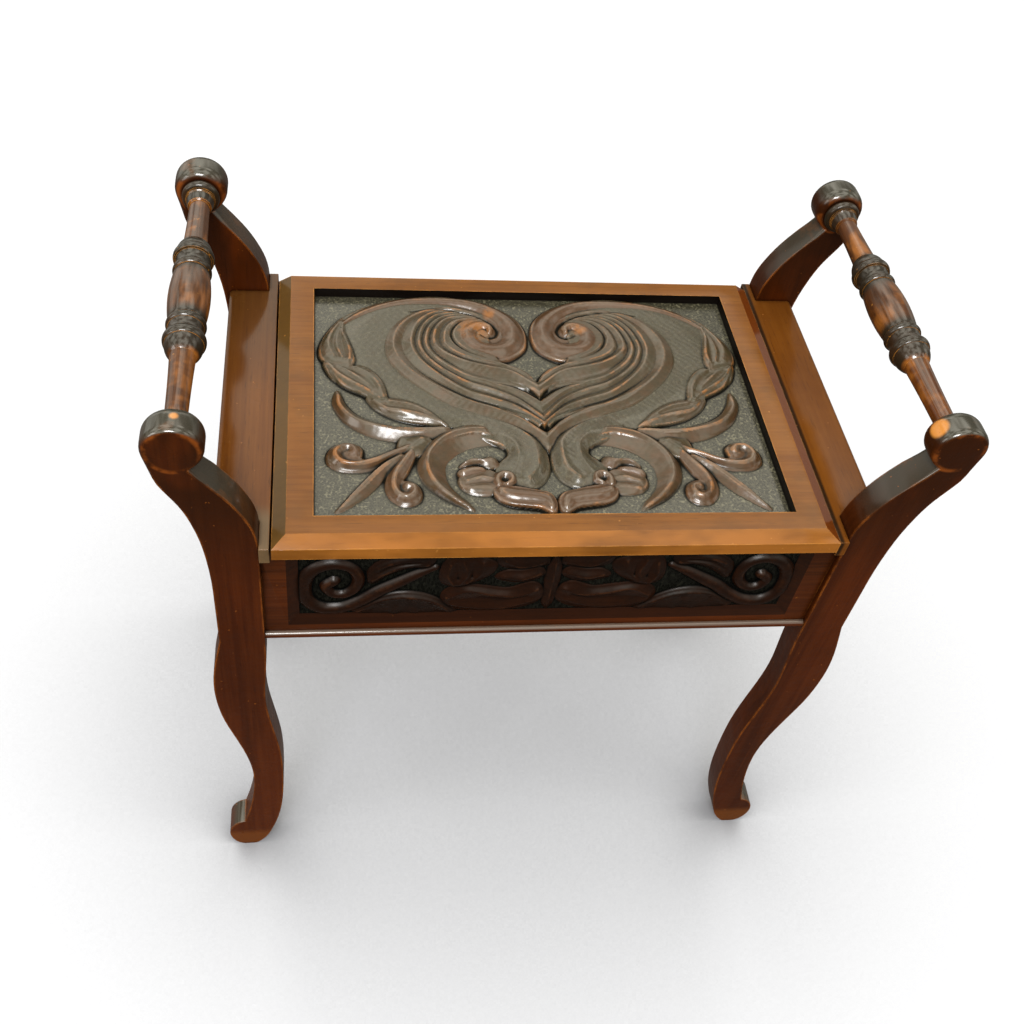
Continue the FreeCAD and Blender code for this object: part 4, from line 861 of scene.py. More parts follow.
def carve_husks(panel):
    """Three overlapping husks down the left border."""
    panel.form(at([(-165, 100), (-175, 86), (-182, 72), (-185.5, 57), (-184, 46), (-179, 40),
                   (-169, 36), (-160, 32.5), (-156, 40), (-157, 52), (-160.5, 66), (-163.5, 80)],
                  3, 3.4, 3.6, 3.6, 4.4, 5.4, 6.4, 6.2, 4.6),
               [at([(-164.5, 92), (-166, 80), (-162.5, 66), (-159.5, 52), (-160, 42)], 5, 7.8, 7.8),
                at([(-168, 92), (-175, 76), (-177.5, 60), (-173, 46)], 4.6, 7.0, 6.6),
                at([(-166.5, 88), (-170, 72), (-170, 56), (-166, 44)], 4.6, 7.0, 7.0)],
               [at([(-167.5, 90), (-172.5, 74), (-173.5, 58), (-169.5, 45)], 4, 5.6, 5.6),
                at([(-165.5, 88), (-167, 74), (-165.5, 58), (-163, 44)], 4, 5.8, 5.8)],
               tone=0.35)
    panel.form(at([(-181.5, 41), (-178, 28), (-170, 16), (-160, 8), (-150, 2.5), (-143, -3),
                   (-136, -10), (-130.5, -8), (-131, 6), (-135, 18), (-142, 28), (-151, 34.5),
                   (-163, 34), (-172, 38)], 3.4, 3.4, 3.8, 3.8, 4, 5.4, 6.2, 6.0, 5.2, 4.4),
               [at([(-178, 38), (-169, 24), (-156, 12), (-143, 3), (-136, -5)], 5.4, 7.4, 6.6),
                at([(-153, 31), (-143, 22), (-136, 9), (-133, -4)], 6.2, 7.8, 6.8),
                at([(-165, 31), (-155, 21), (-144, 10)], 5.6, 7.0, 6.6)],
               [at([(-172, 33), (-160, 20), (-147, 8), (-138, -3)], 4.6, 5.6, 5.6),
                at([(-158, 30), (-148, 20), (-139, 7)], 4.8, 5.8, 5.8)], tone=0.3)
    panel.form(at([(-146, -1), (-142, -11), (-135, -18.5), (-124, -25.5), (-110, -30), (-95, -33),
                   (-81, -36.5), (-88, -28), (-95, -20.5), (-106, -12), (-118, -6.5), (-131, -4)],
                  2.6, 2.4, 2.4, 3.0, 4.0, 5.0, 5.6, 5.4, 4.4),
               [at([(-140, -7), (-131, -17), (-118, -21.5), (-104, -24.5), (-86, -33.5)], 5, 7.8,
                   6.4),
                at([(-128, -9), (-112, -13), (-99, -21), (-90, -30)], 6.4, 7.2, 6.0)],
               [at([(-130, -13), (-114, -17), (-102, -22)], 5.2, 5.6, 5.6)], tone=0.4)


def carve_crescents(panel):
    """The outer crescent under the husks and the large C-shaped one beside the stem."""
    panel.form(at([(-171, 7), (-174.5, -6), (-171.5, -18), (-165, -30), (-156, -38.5), (-146, -45),
                   (-134, -49.5), (-120, -52), (-106, -52.5), (-92, -50), (-80, -44), (-80, -39),
                   (-100, -39), (-120, -38), (-135, -33.5), (-148, -28), (-158, -20), (-165, -9),
                   (-169, 3)], 1.6, 0.8, 0.6, 0.6, 0.8, 2.0, 5, 5, 3.4, 2.6, 2.2, 1.8),
               [at([(-170, 1), (-169.5, -11), (-163.5, -23), (-154.5, -32), (-143.5, -37.5),
                    (-130.5, -41), (-115, -42.5), (-100, -42.5), (-85, -41.5)], 4.4, 7.4, 8, 8.2,
                    8)],
               keen=1.05, wall=1.2, tone=0.55)
    panel.form(at([(-56, -37), (-74, -38.5), (-86, -43.5), (-96, -51.5), (-103.5, -61),
                   (-107.5, -73),
                   (-107.5, -86), (-103.5, -98), (-96.5, -107), (-87.5, -115), (-78, -120.5),
                   (-67, -126.5), (-70.5, -119.5), (-78, -111), (-85, -100), (-87.5, -88),
                   (-86, -77.5), (-80, -69), (-71, -62), (-61, -57.5), (-51, -55.5), (-42, -56.5),
                   (-36, -60), (-33, -50)], 4.8, 3.0, 1.4, 0.8, 0.6, 0.6, 0.8, 1.0, 0.8, 0.6, 0.6,
                  0.8, 1.0, 2.4),
               [at([(-52, -41), (-65, -42.5), (-76, -45.5), (-86, -52), (-93.5, -60.5),
                    (-98.5, -69), (-100.5, -79), (-99.5, -90), (-95, -101), (-88, -110),
                    (-80, -117.5),
                    (-71, -124)], 7.6, 8.2, 8.3, 8.2, 7.6, 4.0)], keen=1.05, wall=1.2, tone=0.55)


def carve_trefoil(panel):
    """Two curled tendrils with a spear leaf between them, springing from one root."""
    panel.form(at([(-120, -50), (-100, -48), (-95, -56), (-101, -66), (-110, -70), (-122, -66)],
                  3, 4, 4, 3.6, 3.4, 3), [at([(-104, -53), (-112, -63)], 6.4, 6.6)], tone=0.3)
    panel.form(at([(-110, -55), (-122, -60.5), (-133, -66), (-145, -72), (-152.3, -73),
                   (-152.5, -62),
                   (-159, -57), (-168, -56.8), (-176, -61), (-179.5, -69), (-178.5, -77),
                   (-172.5, -82.5), (-164, -84.8), (-152, -84.5), (-142, -81.5), (-132, -76),
                   (-122, -70), (-111, -66)], 3.6, 3, 3, 3.6, 4, 3.6, 3, 2.2, 1.4, 1.2, 1.4, 2.2,
                   3.4),
               [at([(-113, -60), (-128, -68), (-140, -75), (-152, -79), (-163, -79.5), (-171, -75),
                    (-173, -67.5), (-168, -61.5), (-160.5, -61.5), (-157, -66)],
                   6.4, 7.2, 7.6, 7.8, 8.2, 8.0)],
               [at([(-153, -75), (-159, -75), (-165, -72.5), (-167, -68), (-163.5, -65.5)], 3.6,
                   3.4, 4.6)],
               keen=1.6, tone=0.7)
    panel.form(at([(-120, -66), (-134, -78), (-145, -90), (-156, -104), (-166, -117),
                   (-173.5, -127.5),
                   (-166, -124), (-158, -117.5), (-149, -109.5), (-141, -100), (-133, -89),
                   (-120, -76)],
                  3, 3, 2.6, 2.0, 1.4, 0.6, 0.6, 0.8, 1.0, 1.4, 3),
               [at([(-118, -70), (-134, -80.5), (-148, -95), (-160, -110), (-171, -124.5)],
                   6.8, 7.8, 7.4, 6.4, 2.6)], keen=1.05, wall=1.2, tone=0.6)
    panel.form(at([(-106, -60), (-111.5, -74), (-116.5, -86), (-120.5, -96), (-115, -97.5),
                   (-109.5, -101.5), (-107, -109.5), (-109, -116.5), (-115, -120.5),
                   (-122.5, -120.5),
                   (-129.5, -115.5), (-133.5, -106.5), (-133.5, -95), (-129.5, -83), (-123, -73),
                   (-115, -64)], 3.6, 2.6, 2.6, 3.4, 3, 2.2, 1.6, 1.4, 2.0, 3.0, 3.4),
               [at([(-113, -66), (-120, -78), (-126, -90), (-128, -102), (-124.5, -112),
                    (-118, -115.5),
                    (-112.5, -111), (-113, -104.5), (-117.5, -103.5)], 6.4, 7.2, 7.8, 8, 8.2)],
               [at([(-119.5, -98), (-122.5, -102.5), (-121.5, -108), (-118, -109)], 3.2, 3.4, 4.6)],
               keen=1.6, tone=0.75)


def carve_root(panel):
    """The stem's swollen foot, the kidney lobe under it and the small curled leaf."""
    panel.form(at([(-66, -20), (-46, -28), (-27, -38), (-13, -48), (-4, -58), (-1.6, -72),
                   (-3, -87),
                   (-9, -97.5), (-18, -103.5), (-32, -102.5), (-42, -99), (-46, -91), (-45, -82),
                   (-40, -75), (-34, -68), (-34.5, -61), (-41, -56), (-52, -51), (-66, -40)],
                  4.2, 5.0, 5.6, 5.0, 3.6, 2.6, 2.2, 2.0, 2.2, 2.6, 3.0, 2.8, 2.6, 2.4, 2.6, 3.0,
                  3.6, 4.2, 4.2),
               [at([(-56, -26), (-36, -33), (-22, -44), (-13, -57), (-11, -72), (-13, -86),
                    (-20, -95)],
                   4.6, 6.8, 8.0, 8.5, 8.6, 8.2, 7.0),
                at([(-50, -40), (-36, -46), (-27, -58), (-26, -74), (-31, -90)], 5.6, 7.0, 7.6,
                   7.6, 6.8)],
               [], keen=1.5, wall=1.5, tone=0.3, punch=0.3)
    panel.form(at([(-48.5, -103), (-49.5, -110), (-45.5, -117), (-37, -121.5), (-25, -123.5),
                   (-14, -125.5),
                   (-10, -128), (-5, -130.5), (-1.8, -127), (-1.2, -118), (-5, -111), (-18, -107),
                   (-32, -104), (-42, -103)], 3.6, 3.6, 4, 4.4, 4.4, 3.6, 3.4, 4.4, 5, 4.6),
               [at([(-43, -109), (-34, -112.5), (-20, -114), (-8, -117), (-5.5, -125)],
                   7.0, 7.4, 7.4, 7.0, 6.4)], keen=2.6, wall=1.4, tone=1.0)
    panel.form(at([(-49.5, -99), (-47.5, -91.5), (-40, -87.5), (-32.5, -90), (-30, -96),
                   (-33.5, -102),
                   (-40, -105), (-46.5, -105)], 4.4),
               [at([(-46, -103), (-45.5, -95), (-40, -91), (-34.5, -93.5), (-34, -98.5),
                    (-38, -101.5)],
                   7.2, 8.2, 8.2, 7.4)],
               [at([(-41, -97), (-39, -98.5)], 3.6)], keen=1.7, tone=0.8)
    panel.form(at([(-74, -90), (-60, -85), (-48, -87), (-43.5, -96), (-46, -107.5), (-58, -110),
                   (-70, -107), (-76, -99)], 2.6, 3.4, 3.4, 2.4, 1.8, 1.6, 2.0, 2.4),
               [at([(-70, -98), (-58, -95), (-50, -96)], 5.2, 6.4, 5.6),
                at([(-68, -105), (-58, -104), (-49, -104)], 4.2, 4.8, 4.4)],
               [at([(-72, -101.5), (-58, -99.5), (-47, -100)], 3.0, 3.4, 3.4)], keen=1.4, tone=0.55)
    panel.form(at([(-76, -87), (-67, -82), (-56, -83), (-54, -88), (-62, -92.5), (-74, -93)], 3.4),
               [at([(-73, -89), (-64, -86.5), (-57, -86)], 7.0, 7.4, 6.4)], keen=1.2, tone=0.9)
    panel.form(at([(-74, -80.5), (-66, -74.5), (-57, -74), (-50, -70.5), (-45, -73), (-43.5, -81),
                   (-51, -83.5), (-60, -79.5), (-69, -81)], 3.0),
               [at([(-71, -79), (-64, -76.5), (-56, -77), (-48, -76)], 6.4, 7.8, 7.6, 7.0)],
               keen=1.2, tone=0.6)


def carve_leaf_ground(panel):
    """The broad punched leaf behind the plume, from the border round to the stem."""
    panel.form(at([(-60, 128), (-85, 131), (-110, 127.5), (-130, 121.5), (-150, 111.5),
                   (-165, 99.5),
                   (-176, 85), (-180, 66), (-176, 44), (-166, 28), (-152, 14), (-140, -4),
                   (-122, -22), (-100, -32), (-80, -37), (-60, -40), (-40, -50), (-20, -45),
                   (0, -30), (-10, 10), (-40, 60), (-40, 110)],
                  3.6, 3.4, 3.2, 3.0, 3.0, 3.0, 2.8, 2.6, 2.8, 3.2, 4.4, 4.6, 4.6, 4.0),
               [at([(-70, 122), (-110, 116), (-140, 98), (-150, 66), (-142, 30), (-120, 6),
                    (-92, -14), (-66, -28), (-48, -38)], 5.4, 5.2, 4.6, 4.2, 4.2, 4.4, 4.8)],
               keen=1.8, wall=1.6, tone=0.2, punch=0.3)


LID_GROUND = 495.15
FRONT_GROUND = -148.6


def lay_carving(panel, where, lift, body="lid"):
    """A panel's left half and its mirror, let into the sunk ground."""
    for name, mirrored in ((where + "_carving_left", False), (where + "_carving_right", True)):
        made = panel_mesh(panel, name, lift, mirrored)
        made.data.materials.append(FINISH["carved_" + where])
        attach(made, body)


def carve_lid():
    """The lid's two mirrored plumes in the sunk panel, left half; the right one mirrors it."""
    panel = Panel((-190, -137), (0, 133.2), 0.75)
    for carve in (carve_leaf_ground, carve_husks, carve_plume, carve_scroll, carve_crescents,
                  carve_trefoil, carve_root):
        carve(panel)
    for line, width, depth in (
            (((-40, 13.5, 0.05), (-24, 11, 0.5), (-12, 6, 1), (-4, -0.5, 1), (1, -6, 0.8)),
             3.4, 4.4),
            (((-36, -20, 0.05), (-22, -26, 0.5), (-12, -32, 1), (-5, -38.5, 1), (1, -44, 0.8)),
             3.4, 4.4),
            (((-178, 29, 0.1), (-168, 12.5, 0.9), (-152, 0.5, 0.3)), 2.4, 3.0),
            (((-128, -27.5, 0.2), (-108, -34.5, 0.9), (-84, -39, 0.5)), 2.4, 3.0)):
        panel.score(line, width, depth)
    panel.finish(0.05)
    lay_carving(panel, "lid", lambda x, y, h: np.stack([x, y, h + LID_GROUND], -1))


def carve_front_rail():
    """Foliate scrolls in the front rail's sunk panel, left half and its mirror."""
    panel = Panel((-202.5, 396), (0, 469.2), 0.65)
    spiral = [(-96, 455, 3.5, 3.0), (-108, 448, 5, 4.0), (-122, 438, 6, 4.6), (-139, 426, 6.5, 4.8),
              (-154, 413, 6.5, 4.8), (-169, 405, 6.5, 4.9), (-185, 405, 7, 4.9),
              (-196, 415, 7, 4.9),
              (-199, 430, 7, 4.9), (-196, 446, 7, 4.9), (-187, 457, 6.5, 4.8), (-174, 461, 6, 4.6),
              (-162, 456, 5.5, 4.5), (-156, 444, 5.5, 4.5), (-158, 431, 5.5, 4.4),
              (-167, 423, 5, 4.4), (-177, 425, 5, 4.5), (-181, 434, 5.5, 4.8),
              (-175, 440, 5.5, 4.9)]
    panel.stem(spiral, tone=0.5, keen=2.6)
    panel.form(at([(-160, 400), (-148, 411), (-135, 420), (-121, 423.5), (-106, 421.5), (-92, 414),
                   (-82, 404), (-76, 396), (-100, 393), (-140, 394)], 1.6, 2, 2.2, 2, 1.8, 1, 0.6,
                   0.6),
               [at([(-156, 400), (-139, 414.5), (-121, 419.5), (-104, 417), (-90, 408.5),
                    (-80, 398)],
                   3.0, 4.8, 4.8, 3.2),
                at([(-121, 418), (-124, 408), (-126, 397)], 4.4, 3.4, 2.6),
                at([(-105, 415), (-106, 406), (-109, 397)], 4.2, 3.2, 2.4)],
               [at([(-138, 409), (-138, 398)], 2.2, 1.2), at([(-114, 413), (-116, 398)], 2.4, 1.2),
                at([(-97, 408), (-98, 398)], 2.4, 1.2)], tone=0.4)
    panel.form(at([(-100, 456), (-116, 455), (-132, 447), (-146, 436), (-148, 450), (-140, 462),
                   (-122, 470), (-98, 470)], 1.2, 1.4, 1.6, 1.2, 1.0, 1.2),
               [at([(-102, 460), (-120, 459), (-136, 450), (-145, 441)], 3.4, 4.7, 3.6),
                at([(-108, 466), (-128, 463), (-140, 456)], 3.2, 3.8, 3.0)],
               [at([(-108, 463), (-128, 459.5), (-141, 450)], 2.2)], tone=0.35)
    panel.form(at([(-86, 464), (-91, 448), (-88, 434), (-76, 430), (-62, 436), (-50, 447),
                   (-48, 458),
                   (-60, 466), (-74, 469)], 1.0, 1.2),
               [at([(-84, 459), (-85, 445), (-80, 435)], 3.6, 4.7), at([(-74, 463), (-70, 448),
                                                                        (-76, 436)],
                3.6, 4.6), at([(-58, 461), (-60, 448), (-70, 437)], 3.4, 4.4)],
               [at([(-80, 460), (-77, 442)], 1.8), at([(-66, 460), (-66, 444)], 1.8)], keen=1.4,
               tone=0.5)
    panel.form(at([(-88, 410), (-86, 424), (-74, 432), (-54, 429), (-34, 426), (-15, 433),
                   (-6, 424),
                   (-7, 411), (-18, 402), (-40, 397.5), (-62, 397.5), (-78, 401)], 0.9, 1.2),
               [at([(-84, 417), (-68, 426), (-46, 421), (-26, 419), (-11, 426)], 4.0, 4.9, 4.0),
                at([(-79, 408), (-58, 404), (-36, 404), (-14, 412)], 3.6, 4.6, 3.8)],
               [at([(-80, 413), (-60, 414.5), (-38, 412), (-18, 417)], 2.0, 1.4, 2.0)], keen=1.4,
               tone=0.6)
    panel.form(at([(-46, 441), (-30, 434.5), (-14, 438), (-7, 446), (-12, 452), (-26, 449),
                   (-38, 449)],
                  0.9, 1.2), [at([(-40, 443), (-26, 441.5), (-12, 446)], 3.4, 4.6, 3.6)], keen=1.3,
                  tone=0.5)
    panel.form(at([(-46, 468), (-43, 456), (-30, 452.5), (-16, 454), (-6, 458), (-8, 467),
                   (-24, 470)],
                  0.9, 1.2), [at([(-40, 463), (-28, 457), (-10, 461)], 3.4, 4.6, 3.6)], keen=1.3,
                  tone=0.4)
    panel.form(at([(4, 470), (-3, 460), (-5, 440), (-4, 420), (-3, 404), (4, 396)], 1.4, 1.4, 1.2),
               [at([(1, 466), (1, 432), (1, 400)], 4.2, 4.9, 4.2)], keen=1.3, tone=0.5)
    panel.finish(0.04)
    lay_carving(panel, "front", lambda x, y, h: np.stack([x, FRONT_GROUND - h, y], -1), "stand")


# Boards and turnings

# The sunk panels: axis they are sunk along, ground level, and the ground's low and high corners.
GROUNDS = {"lid": (2, 495.0, (-190.0, -137.0), (190.0, 133.2)),
           "front_rail": (1, -148.5, (-202.5, 396.0), (202.5, 469.2))}
# Where the face round each sunk panel is cut into strips: values across, values along.
STRIPS = {"lid": ((-190.0, 190.0), (-137.0, 133.2)),
          "front_rail": ((-211.5, 211.5), (387.0, 478.2))}
FRONT_BEVEL = 9.0
FRONT_DEPTH = 5.0
SUNK_REACH = 8.9
WELD = 0.00002


def panel_place(vert, axis):
    """A corner's place on a panel sunk along an axis, in mm: across, along, depth."""
    across, along = (vert.co[i] / MM for i in range(3) if i != axis)
    return across, along, vert.co[axis] / MM


def clear_ground(work, axis, level, low, high):
    """Take the raised forms off a sunk ground and close it with one face."""
    def within(vert, margin):
        a, b, depth = panel_place(vert, axis)
        return (low[0] + margin < a < high[0] - margin and low[1] + margin < b < high[1] - margin
                and abs(depth - level) < SUNK_REACH)

    def grounded(verts):
        return all(abs(panel_place(v, axis)[2] - level) < 0.05 for v in verts)

    bmesh.ops.delete(work, geom=[v for v in work.verts if within(v, 0.05)], context="VERTS")
    flat = [f for f in work.faces if grounded(f.verts) and all(within(v, -0.05) for v in f.verts)]
    bmesh.ops.delete(work, geom=flat, context="FACES")
    rim = [e for e in work.edges if e.is_boundary and grounded(e.verts)]
    bmesh.ops.contextual_create(work, geom=rim)


def relay_panel(work, axis, level, low, high):
    """Lay the bevels and the ground anew between the corners of the front rail's opening."""
    face = level - FRONT_DEPTH
    inner = [low, (high[0], low[1]), high, (low[0], high[1])]
    outer = [(a + math.copysign(FRONT_BEVEL, a), b + (FRONT_BEVEL if b > low[1] else -FRONT_BEVEL))
             for a, b in inner]
    places = {v: panel_place(v, axis) for v in work.verts}

    def framed(place, margin):
        return (outer[0][0] - margin < place[0] < outer[2][0] + margin
                and outer[0][1] - margin < place[1] < outer[2][1] + margin)

    corners = [min(places, key=lambda v: abs(places[v][0] - a) + abs(places[v][1] - b)
                   + abs(places[v][2] - face)) for a, b in outer]
    gone = [v for v, place in places.items()
            if (framed(place, 0.1) and face + 0.1 < place[2] < level + 0.1)
            or (framed(place, -0.1) and abs(place[2] - face) < 1.2 and v not in corners)]
    bmesh.ops.delete(work, geom=gone, context="VERTS")
    sunk = [work.verts.new((a * MM, level * MM, b * MM)) for a, b in inner]
    for i in range(4):
        j = (i + 1) % 4
        work.faces.new((corners[i], corners[j], sunk[j], sunk[i]))
    work.faces.new(sunk)


def cut_strips(work, axis, node):
    """Cut the face round a sunk panel along the panel's sides."""
    for along, cuts in zip([i for i in range(3) if i != axis], STRIPS[node]):
        normal = Vector((0, 0, 0))
        normal[along] = 1
        for cut in cuts:
            bmesh.ops.bisect_plane(work, geom=[*work.verts, *work.edges, *work.faces],
                                   dist=1e-6, plane_co=normal * (cut * MM), plane_no=normal)


def mark_sunk(work, axis, level, low, high):
    """Mark the walls of a sunk panel, and partly its bevels, for the painted shade on them."""
    across = [i for i in range(3) if i != axis]
    layer = work.faces.layers.float.new("sunk")
    for face in work.faces:
        middle = face.calc_center_median() / MM
        face[layer] = float(abs(face.normal[axis]) < 0.1 and all(
            a - 0.1 < middle[i] < b + 0.1 for i, a, b in zip(across, low, high))
            and abs(middle[axis] - level) < SUNK_REACH)
        if axis == 1 and abs(abs(face.normal[axis]) - 0.87) < 0.1:
            face[layer] = 0.7


def merged_copy(node):
    """The node's solid as a clean bmesh: joined corners, flat faces in one piece."""
    work = bmesh.new()
    work.from_mesh(NODES[node].data)
    bmesh.ops.remove_doubles(work, verts=work.verts, dist=WELD)
    if node in GROUNDS:
        (clear_ground if node == "lid" else relay_panel)(work, *GROUNDS[node])
    bmesh.ops.dissolve_limit(work, angle_limit=math.radians(0.6), verts=work.verts,
                             edges=work.edges)
    if node in GROUNDS:
        cut_strips(work, GROUNDS[node][0], node)
    bmesh.ops.recalc_face_normals(work, faces=work.faces)
    if node in GROUNDS:
        mark_sunk(work, *GROUNDS[node])
    return work


def new_piece(name, work, finish, sharp):
    """A piece from a bmesh, smooth except where it turns by more than an angle."""
    mesh = bpy.data.meshes.new(name)
    work.to_mesh(mesh)
    work.free()
    mesh.materials.append(FINISH[finish])
    mesh.shade_smooth()
    mesh.set_sharp_from_angle(angle=math.radians(sharp))
    made = bpy.data.objects.new(name, mesh)
    SCENE.collection.objects.link(made)
    return made


def put_in_place(made, node, body):
    """A piece rides on its body and stands for its node."""
    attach(made, body)
    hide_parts(node)


def eased_board(node, finish, slot, ease, body="stand"):
    """A board with its sawn arrises eased, in place of the square one."""
    made = new_piece("polished_" + node, merged_copy(node), finish, 32)
    bevel = made.modifiers.new("eased_arrises", "BEVEL")
    bevel.width = ease * MM
    bevel.segments = 2
    bevel.limit_method = "ANGLE"
    bevel.angle_limit = math.radians(12 if node == "lid" else 38)
    bevel.use_clamp_overlap = True
    bevel.harden_normals = True
    put_in_place(made, node, body)


def sawn_outline(node, face):
    """The leg's outline at its outer face, in mm, as a closed ring of (x, z)."""
    work = bmesh.new()
    work.from_mesh(NODES[node].data)
    bmesh.ops.remove_doubles(work, verts=work.verts, dist=WELD)
    flat = [f for f in work.faces if all(abs(v.co.y / MM - face) < 0.02 for v in f.verts)]
    together = set(flat)
    joins = {}
    for f in flat:
        for loop in f.loops:
            if together.isdisjoint(other for other in loop.edge.link_faces if other != f):
                joins[loop.vert.index] = loop.link_loop_next.vert.index
    places = {v.index: (v.co.x / MM, v.co.z / MM) for v in work.verts}
    work.free()
    first = here = next(iter(joins))
    ring = []
    while True:
        ring.append(places[here])
        here = joins[here]
        if here == first:
            break
    ring = np.array(ring)
    turn = np.sum(ring[:, 0] * np.roll(ring[:, 1], -1) - np.roll(ring[:, 0], -1) * ring[:, 1])
    return ring if turn > 0 else ring[::-1]


def smooth_steps(value, low, high):
    share = np.clip((value - low) / (high - low), 0, 1)
    return share * share * (3 - 2 * share)


LEG_FACES = {"front": (-159.0, -133.6), "rear": (165.0, 139.6)}
LEG_EASE = 0.7
ROUND_STEPS = 9
# How far the roll's faces sink in and reach along, on the outer and the inner face.
ROLL_ROUNDS = ((3.2, 6.0), (7.2, 9.5))


def sawn_leg(end, side, word):
    """A sawn leg: eased arrises that swell into a ball-like rounding on the rolled end."""
    node = f"leg_{end}_{word}"
    outer, inner = LEG_FACES[end]
    ring = sawn_outline(node, outer)
    ahead, behind = np.roll(ring, -1, 0) - ring, ring - np.roll(ring, 1, 0)
    ahead /= np.linalg.norm(ahead, axis=1)[:, None]
    behind /= np.linalg.norm(behind, axis=1)[:, None]
    inward = np.column_stack([-(ahead + behind)[:, 1], (ahead + behind)[:, 0]])
    inward /= np.linalg.norm(inward, axis=1)[:, None]
    away = np.linalg.norm(ring - (side * ROLL[0], ROLL[1]), axis=1)
    rolled = 1 - smooth_steps(away, 22.6, 34.0)
    rolled *= smooth_steps(away, 18.9, 20.9)
    layers = []
    for face, toward, (sink, reach) in zip((outer, inner), np.sign((inner - outer, outer - inner)),
                                           ROLL_ROUNDS):
        step = []
        for k in range(ROUND_STEPS + 1):
            angle = math.pi / 2 * k / ROUND_STEPS
            offset = (LEG_EASE + (sink - LEG_EASE) * rolled) * (1 - math.sin(angle))
            depth = (LEG_EASE + (reach - LEG_EASE) * rolled) * (1 - math.cos(angle))
            step.append((ring + inward * offset[:, None], face + toward * depth))
        layers.append(step)
    work = bmesh.new()
    rows = [[work.verts.new((x * MM, y * MM, z * MM)) for (x, z), y in zip(flat, depth)]
            for flat, depth in layers[0] + layers[1][::-1]]
    for low, high in zip(rows, rows[1:]):
        for i in range(len(ring)):
            j = (i + 1) % len(ring)
            work.faces.new((low[i], low[j], high[j], high[i]))
    caps = [work.faces.new(rows[0]), work.faces.new(rows[-1])]
    for cap in caps:
        cap.normal_update()
    bmesh.ops.triangulate(work, faces=caps)
    bmesh.ops.recalc_face_normals(work, faces=work.faces)
    put_in_place(new_piece("polished_" + node, work, "leg", 32), node, "stand")


HANDRAIL_HALF = 136.6
HANDRAIL_RADIUS = 16.0
HANDRAIL_MIDDLE = 3.0
HANDRAIL_SIDES = 72
# Half a handrail from its middle: (distance share, radius share), arcs through a middle point.
HANDRAIL_STEPS = (
    ((0.10, 0.967), (0.203, 0.865)), ((0.212, 0.835),), ((0.234, 0.945), (0.256, 0.835)),
    ((0.295, 0.805), (0.332, 0.865)), ((0.336, 0.955),), ((0.362, 1.01), (0.388, 0.945)),
    ((0.392, 0.90),), ((0.442, 0.82), (0.478, 0.65)), ((0.485, 0.60),),
    ((0.66, 0.545), (0.86, 0.51)),
)
REAR_NECK = (
    ((0.868, 0.60),), ((0.90, 0.665), (0.926, 0.70)), ((0.931, 0.75),), ((0.944, 0.75),),
    ((0.952, 0.895),), ((0.974, 0.965), (0.995, 0.93)), ((1.0, 0.89),),
)
FRONT_NECK = (((0.93, 0.50),), ((0.972, 0.53), (1.0, 0.65)))


def arc(start, middle, end, steps):
    """Points after start on the circle through three points."""
    a, b, c = (complex(*p) for p in (start, middle, end))
    w = (c - a) / (b - a)
    if abs(w.imag) < 1e-6:
        return [(start[0] + (end[0] - start[0]) * i / steps,
                 start[1] + (end[1] - start[1]) * i / steps) for i in range(1, steps + 1)]
    centre = (b - a) * (w - abs(w) ** 2) / (2j * w.imag) + a
    radius, first = abs(a - centre), math.atan2((a - centre).imag, (a - centre).real)
    last = math.atan2((c - centre).imag, (c - centre).real)
    sweep = (last - first + math.pi) % (2 * math.pi) - math.pi
    angles = [first + sweep * i / steps for i in range(1, steps + 1)]
    return [(centre.real + radius * math.cos(t), centre.imag + radius * math.sin(t))
            for t in angles]


def half_profile(neck):
    """(distance, radius) in mm from a handrail's middle to the end of one neck."""
    point = (0.0, HANDRAIL_RADIUS)
    half = [point]
    for step in HANDRAIL_STEPS + neck:
        places = [(share * HANDRAIL_HALF, rise * HANDRAIL_RADIUS) for share, rise in step]
        if len(places) == 2:
            half += arc(point, places[0], places[1], 14)
        else:
            half += arc(point, between([point], places)[0], places[0], 2)
        point = places[-1]
    return half + [(HANDRAIL_HALF, 0.0)]


def tan_share(d, r):
    """How tan the polish has worn at a distance from the middle, where the radius is r."""
    share, slim = abs(d) / HANDRAIL_HALF, r / HANDRAIL_RADIUS
    shaft = max(0.0, min(1.0, (0.74 - slim) / 0.10))
    shaft *= 0.44 < share < (0.87 if d > 0 else 0.97)
    belly = 0.75 * max(0.0, min(1.0, (0.19 - share) / 0.05))
    return max(shaft, belly)


def turn_handrail(side, word):
    """A turned handrail between the rolled ends of two arms."""
    profile = [(-d, r) for d, r in half_profile(FRONT_NECK)[:0:-1]] + half_profile(REAR_NECK)
    work = bmesh.new()
    tone = work.verts.layers.float.new("tone")
    rings = []
    for d, r in profile:
        count = HANDRAIL_SIDES if r > 0.01 else 1
        turns = [2 * math.pi * k / count for k in range(count)]
        r *= r > 0.01
        rings.append([work.verts.new(((side * ROLL[0] + r * math.cos(t)) * MM,
                                      (HANDRAIL_MIDDLE + d) * MM,
                                      (ROLL[1] + r * math.sin(t)) * MM)) for t in turns])
        for vert in rings[-1]:
            vert[tone] = tan_share(d, r) * (count > 1)
    for low, high in zip(rings, rings[1:]):
        for k in range(HANDRAIL_SIDES):
            corners = [low[k % len(low)], low[(k + 1) % len(low)],
                       high[(k + 1) % len(high)], high[k % len(high)]]
            work.faces.new(list(dict.fromkeys(corners)))
    bmesh.ops.recalc_face_normals(work, faces=work.faces)
    made = new_piece("turned_handrail_" + word, work, "turned", 36)
    put_in_place(made, "handrail_" + word, "stand")


# The stool

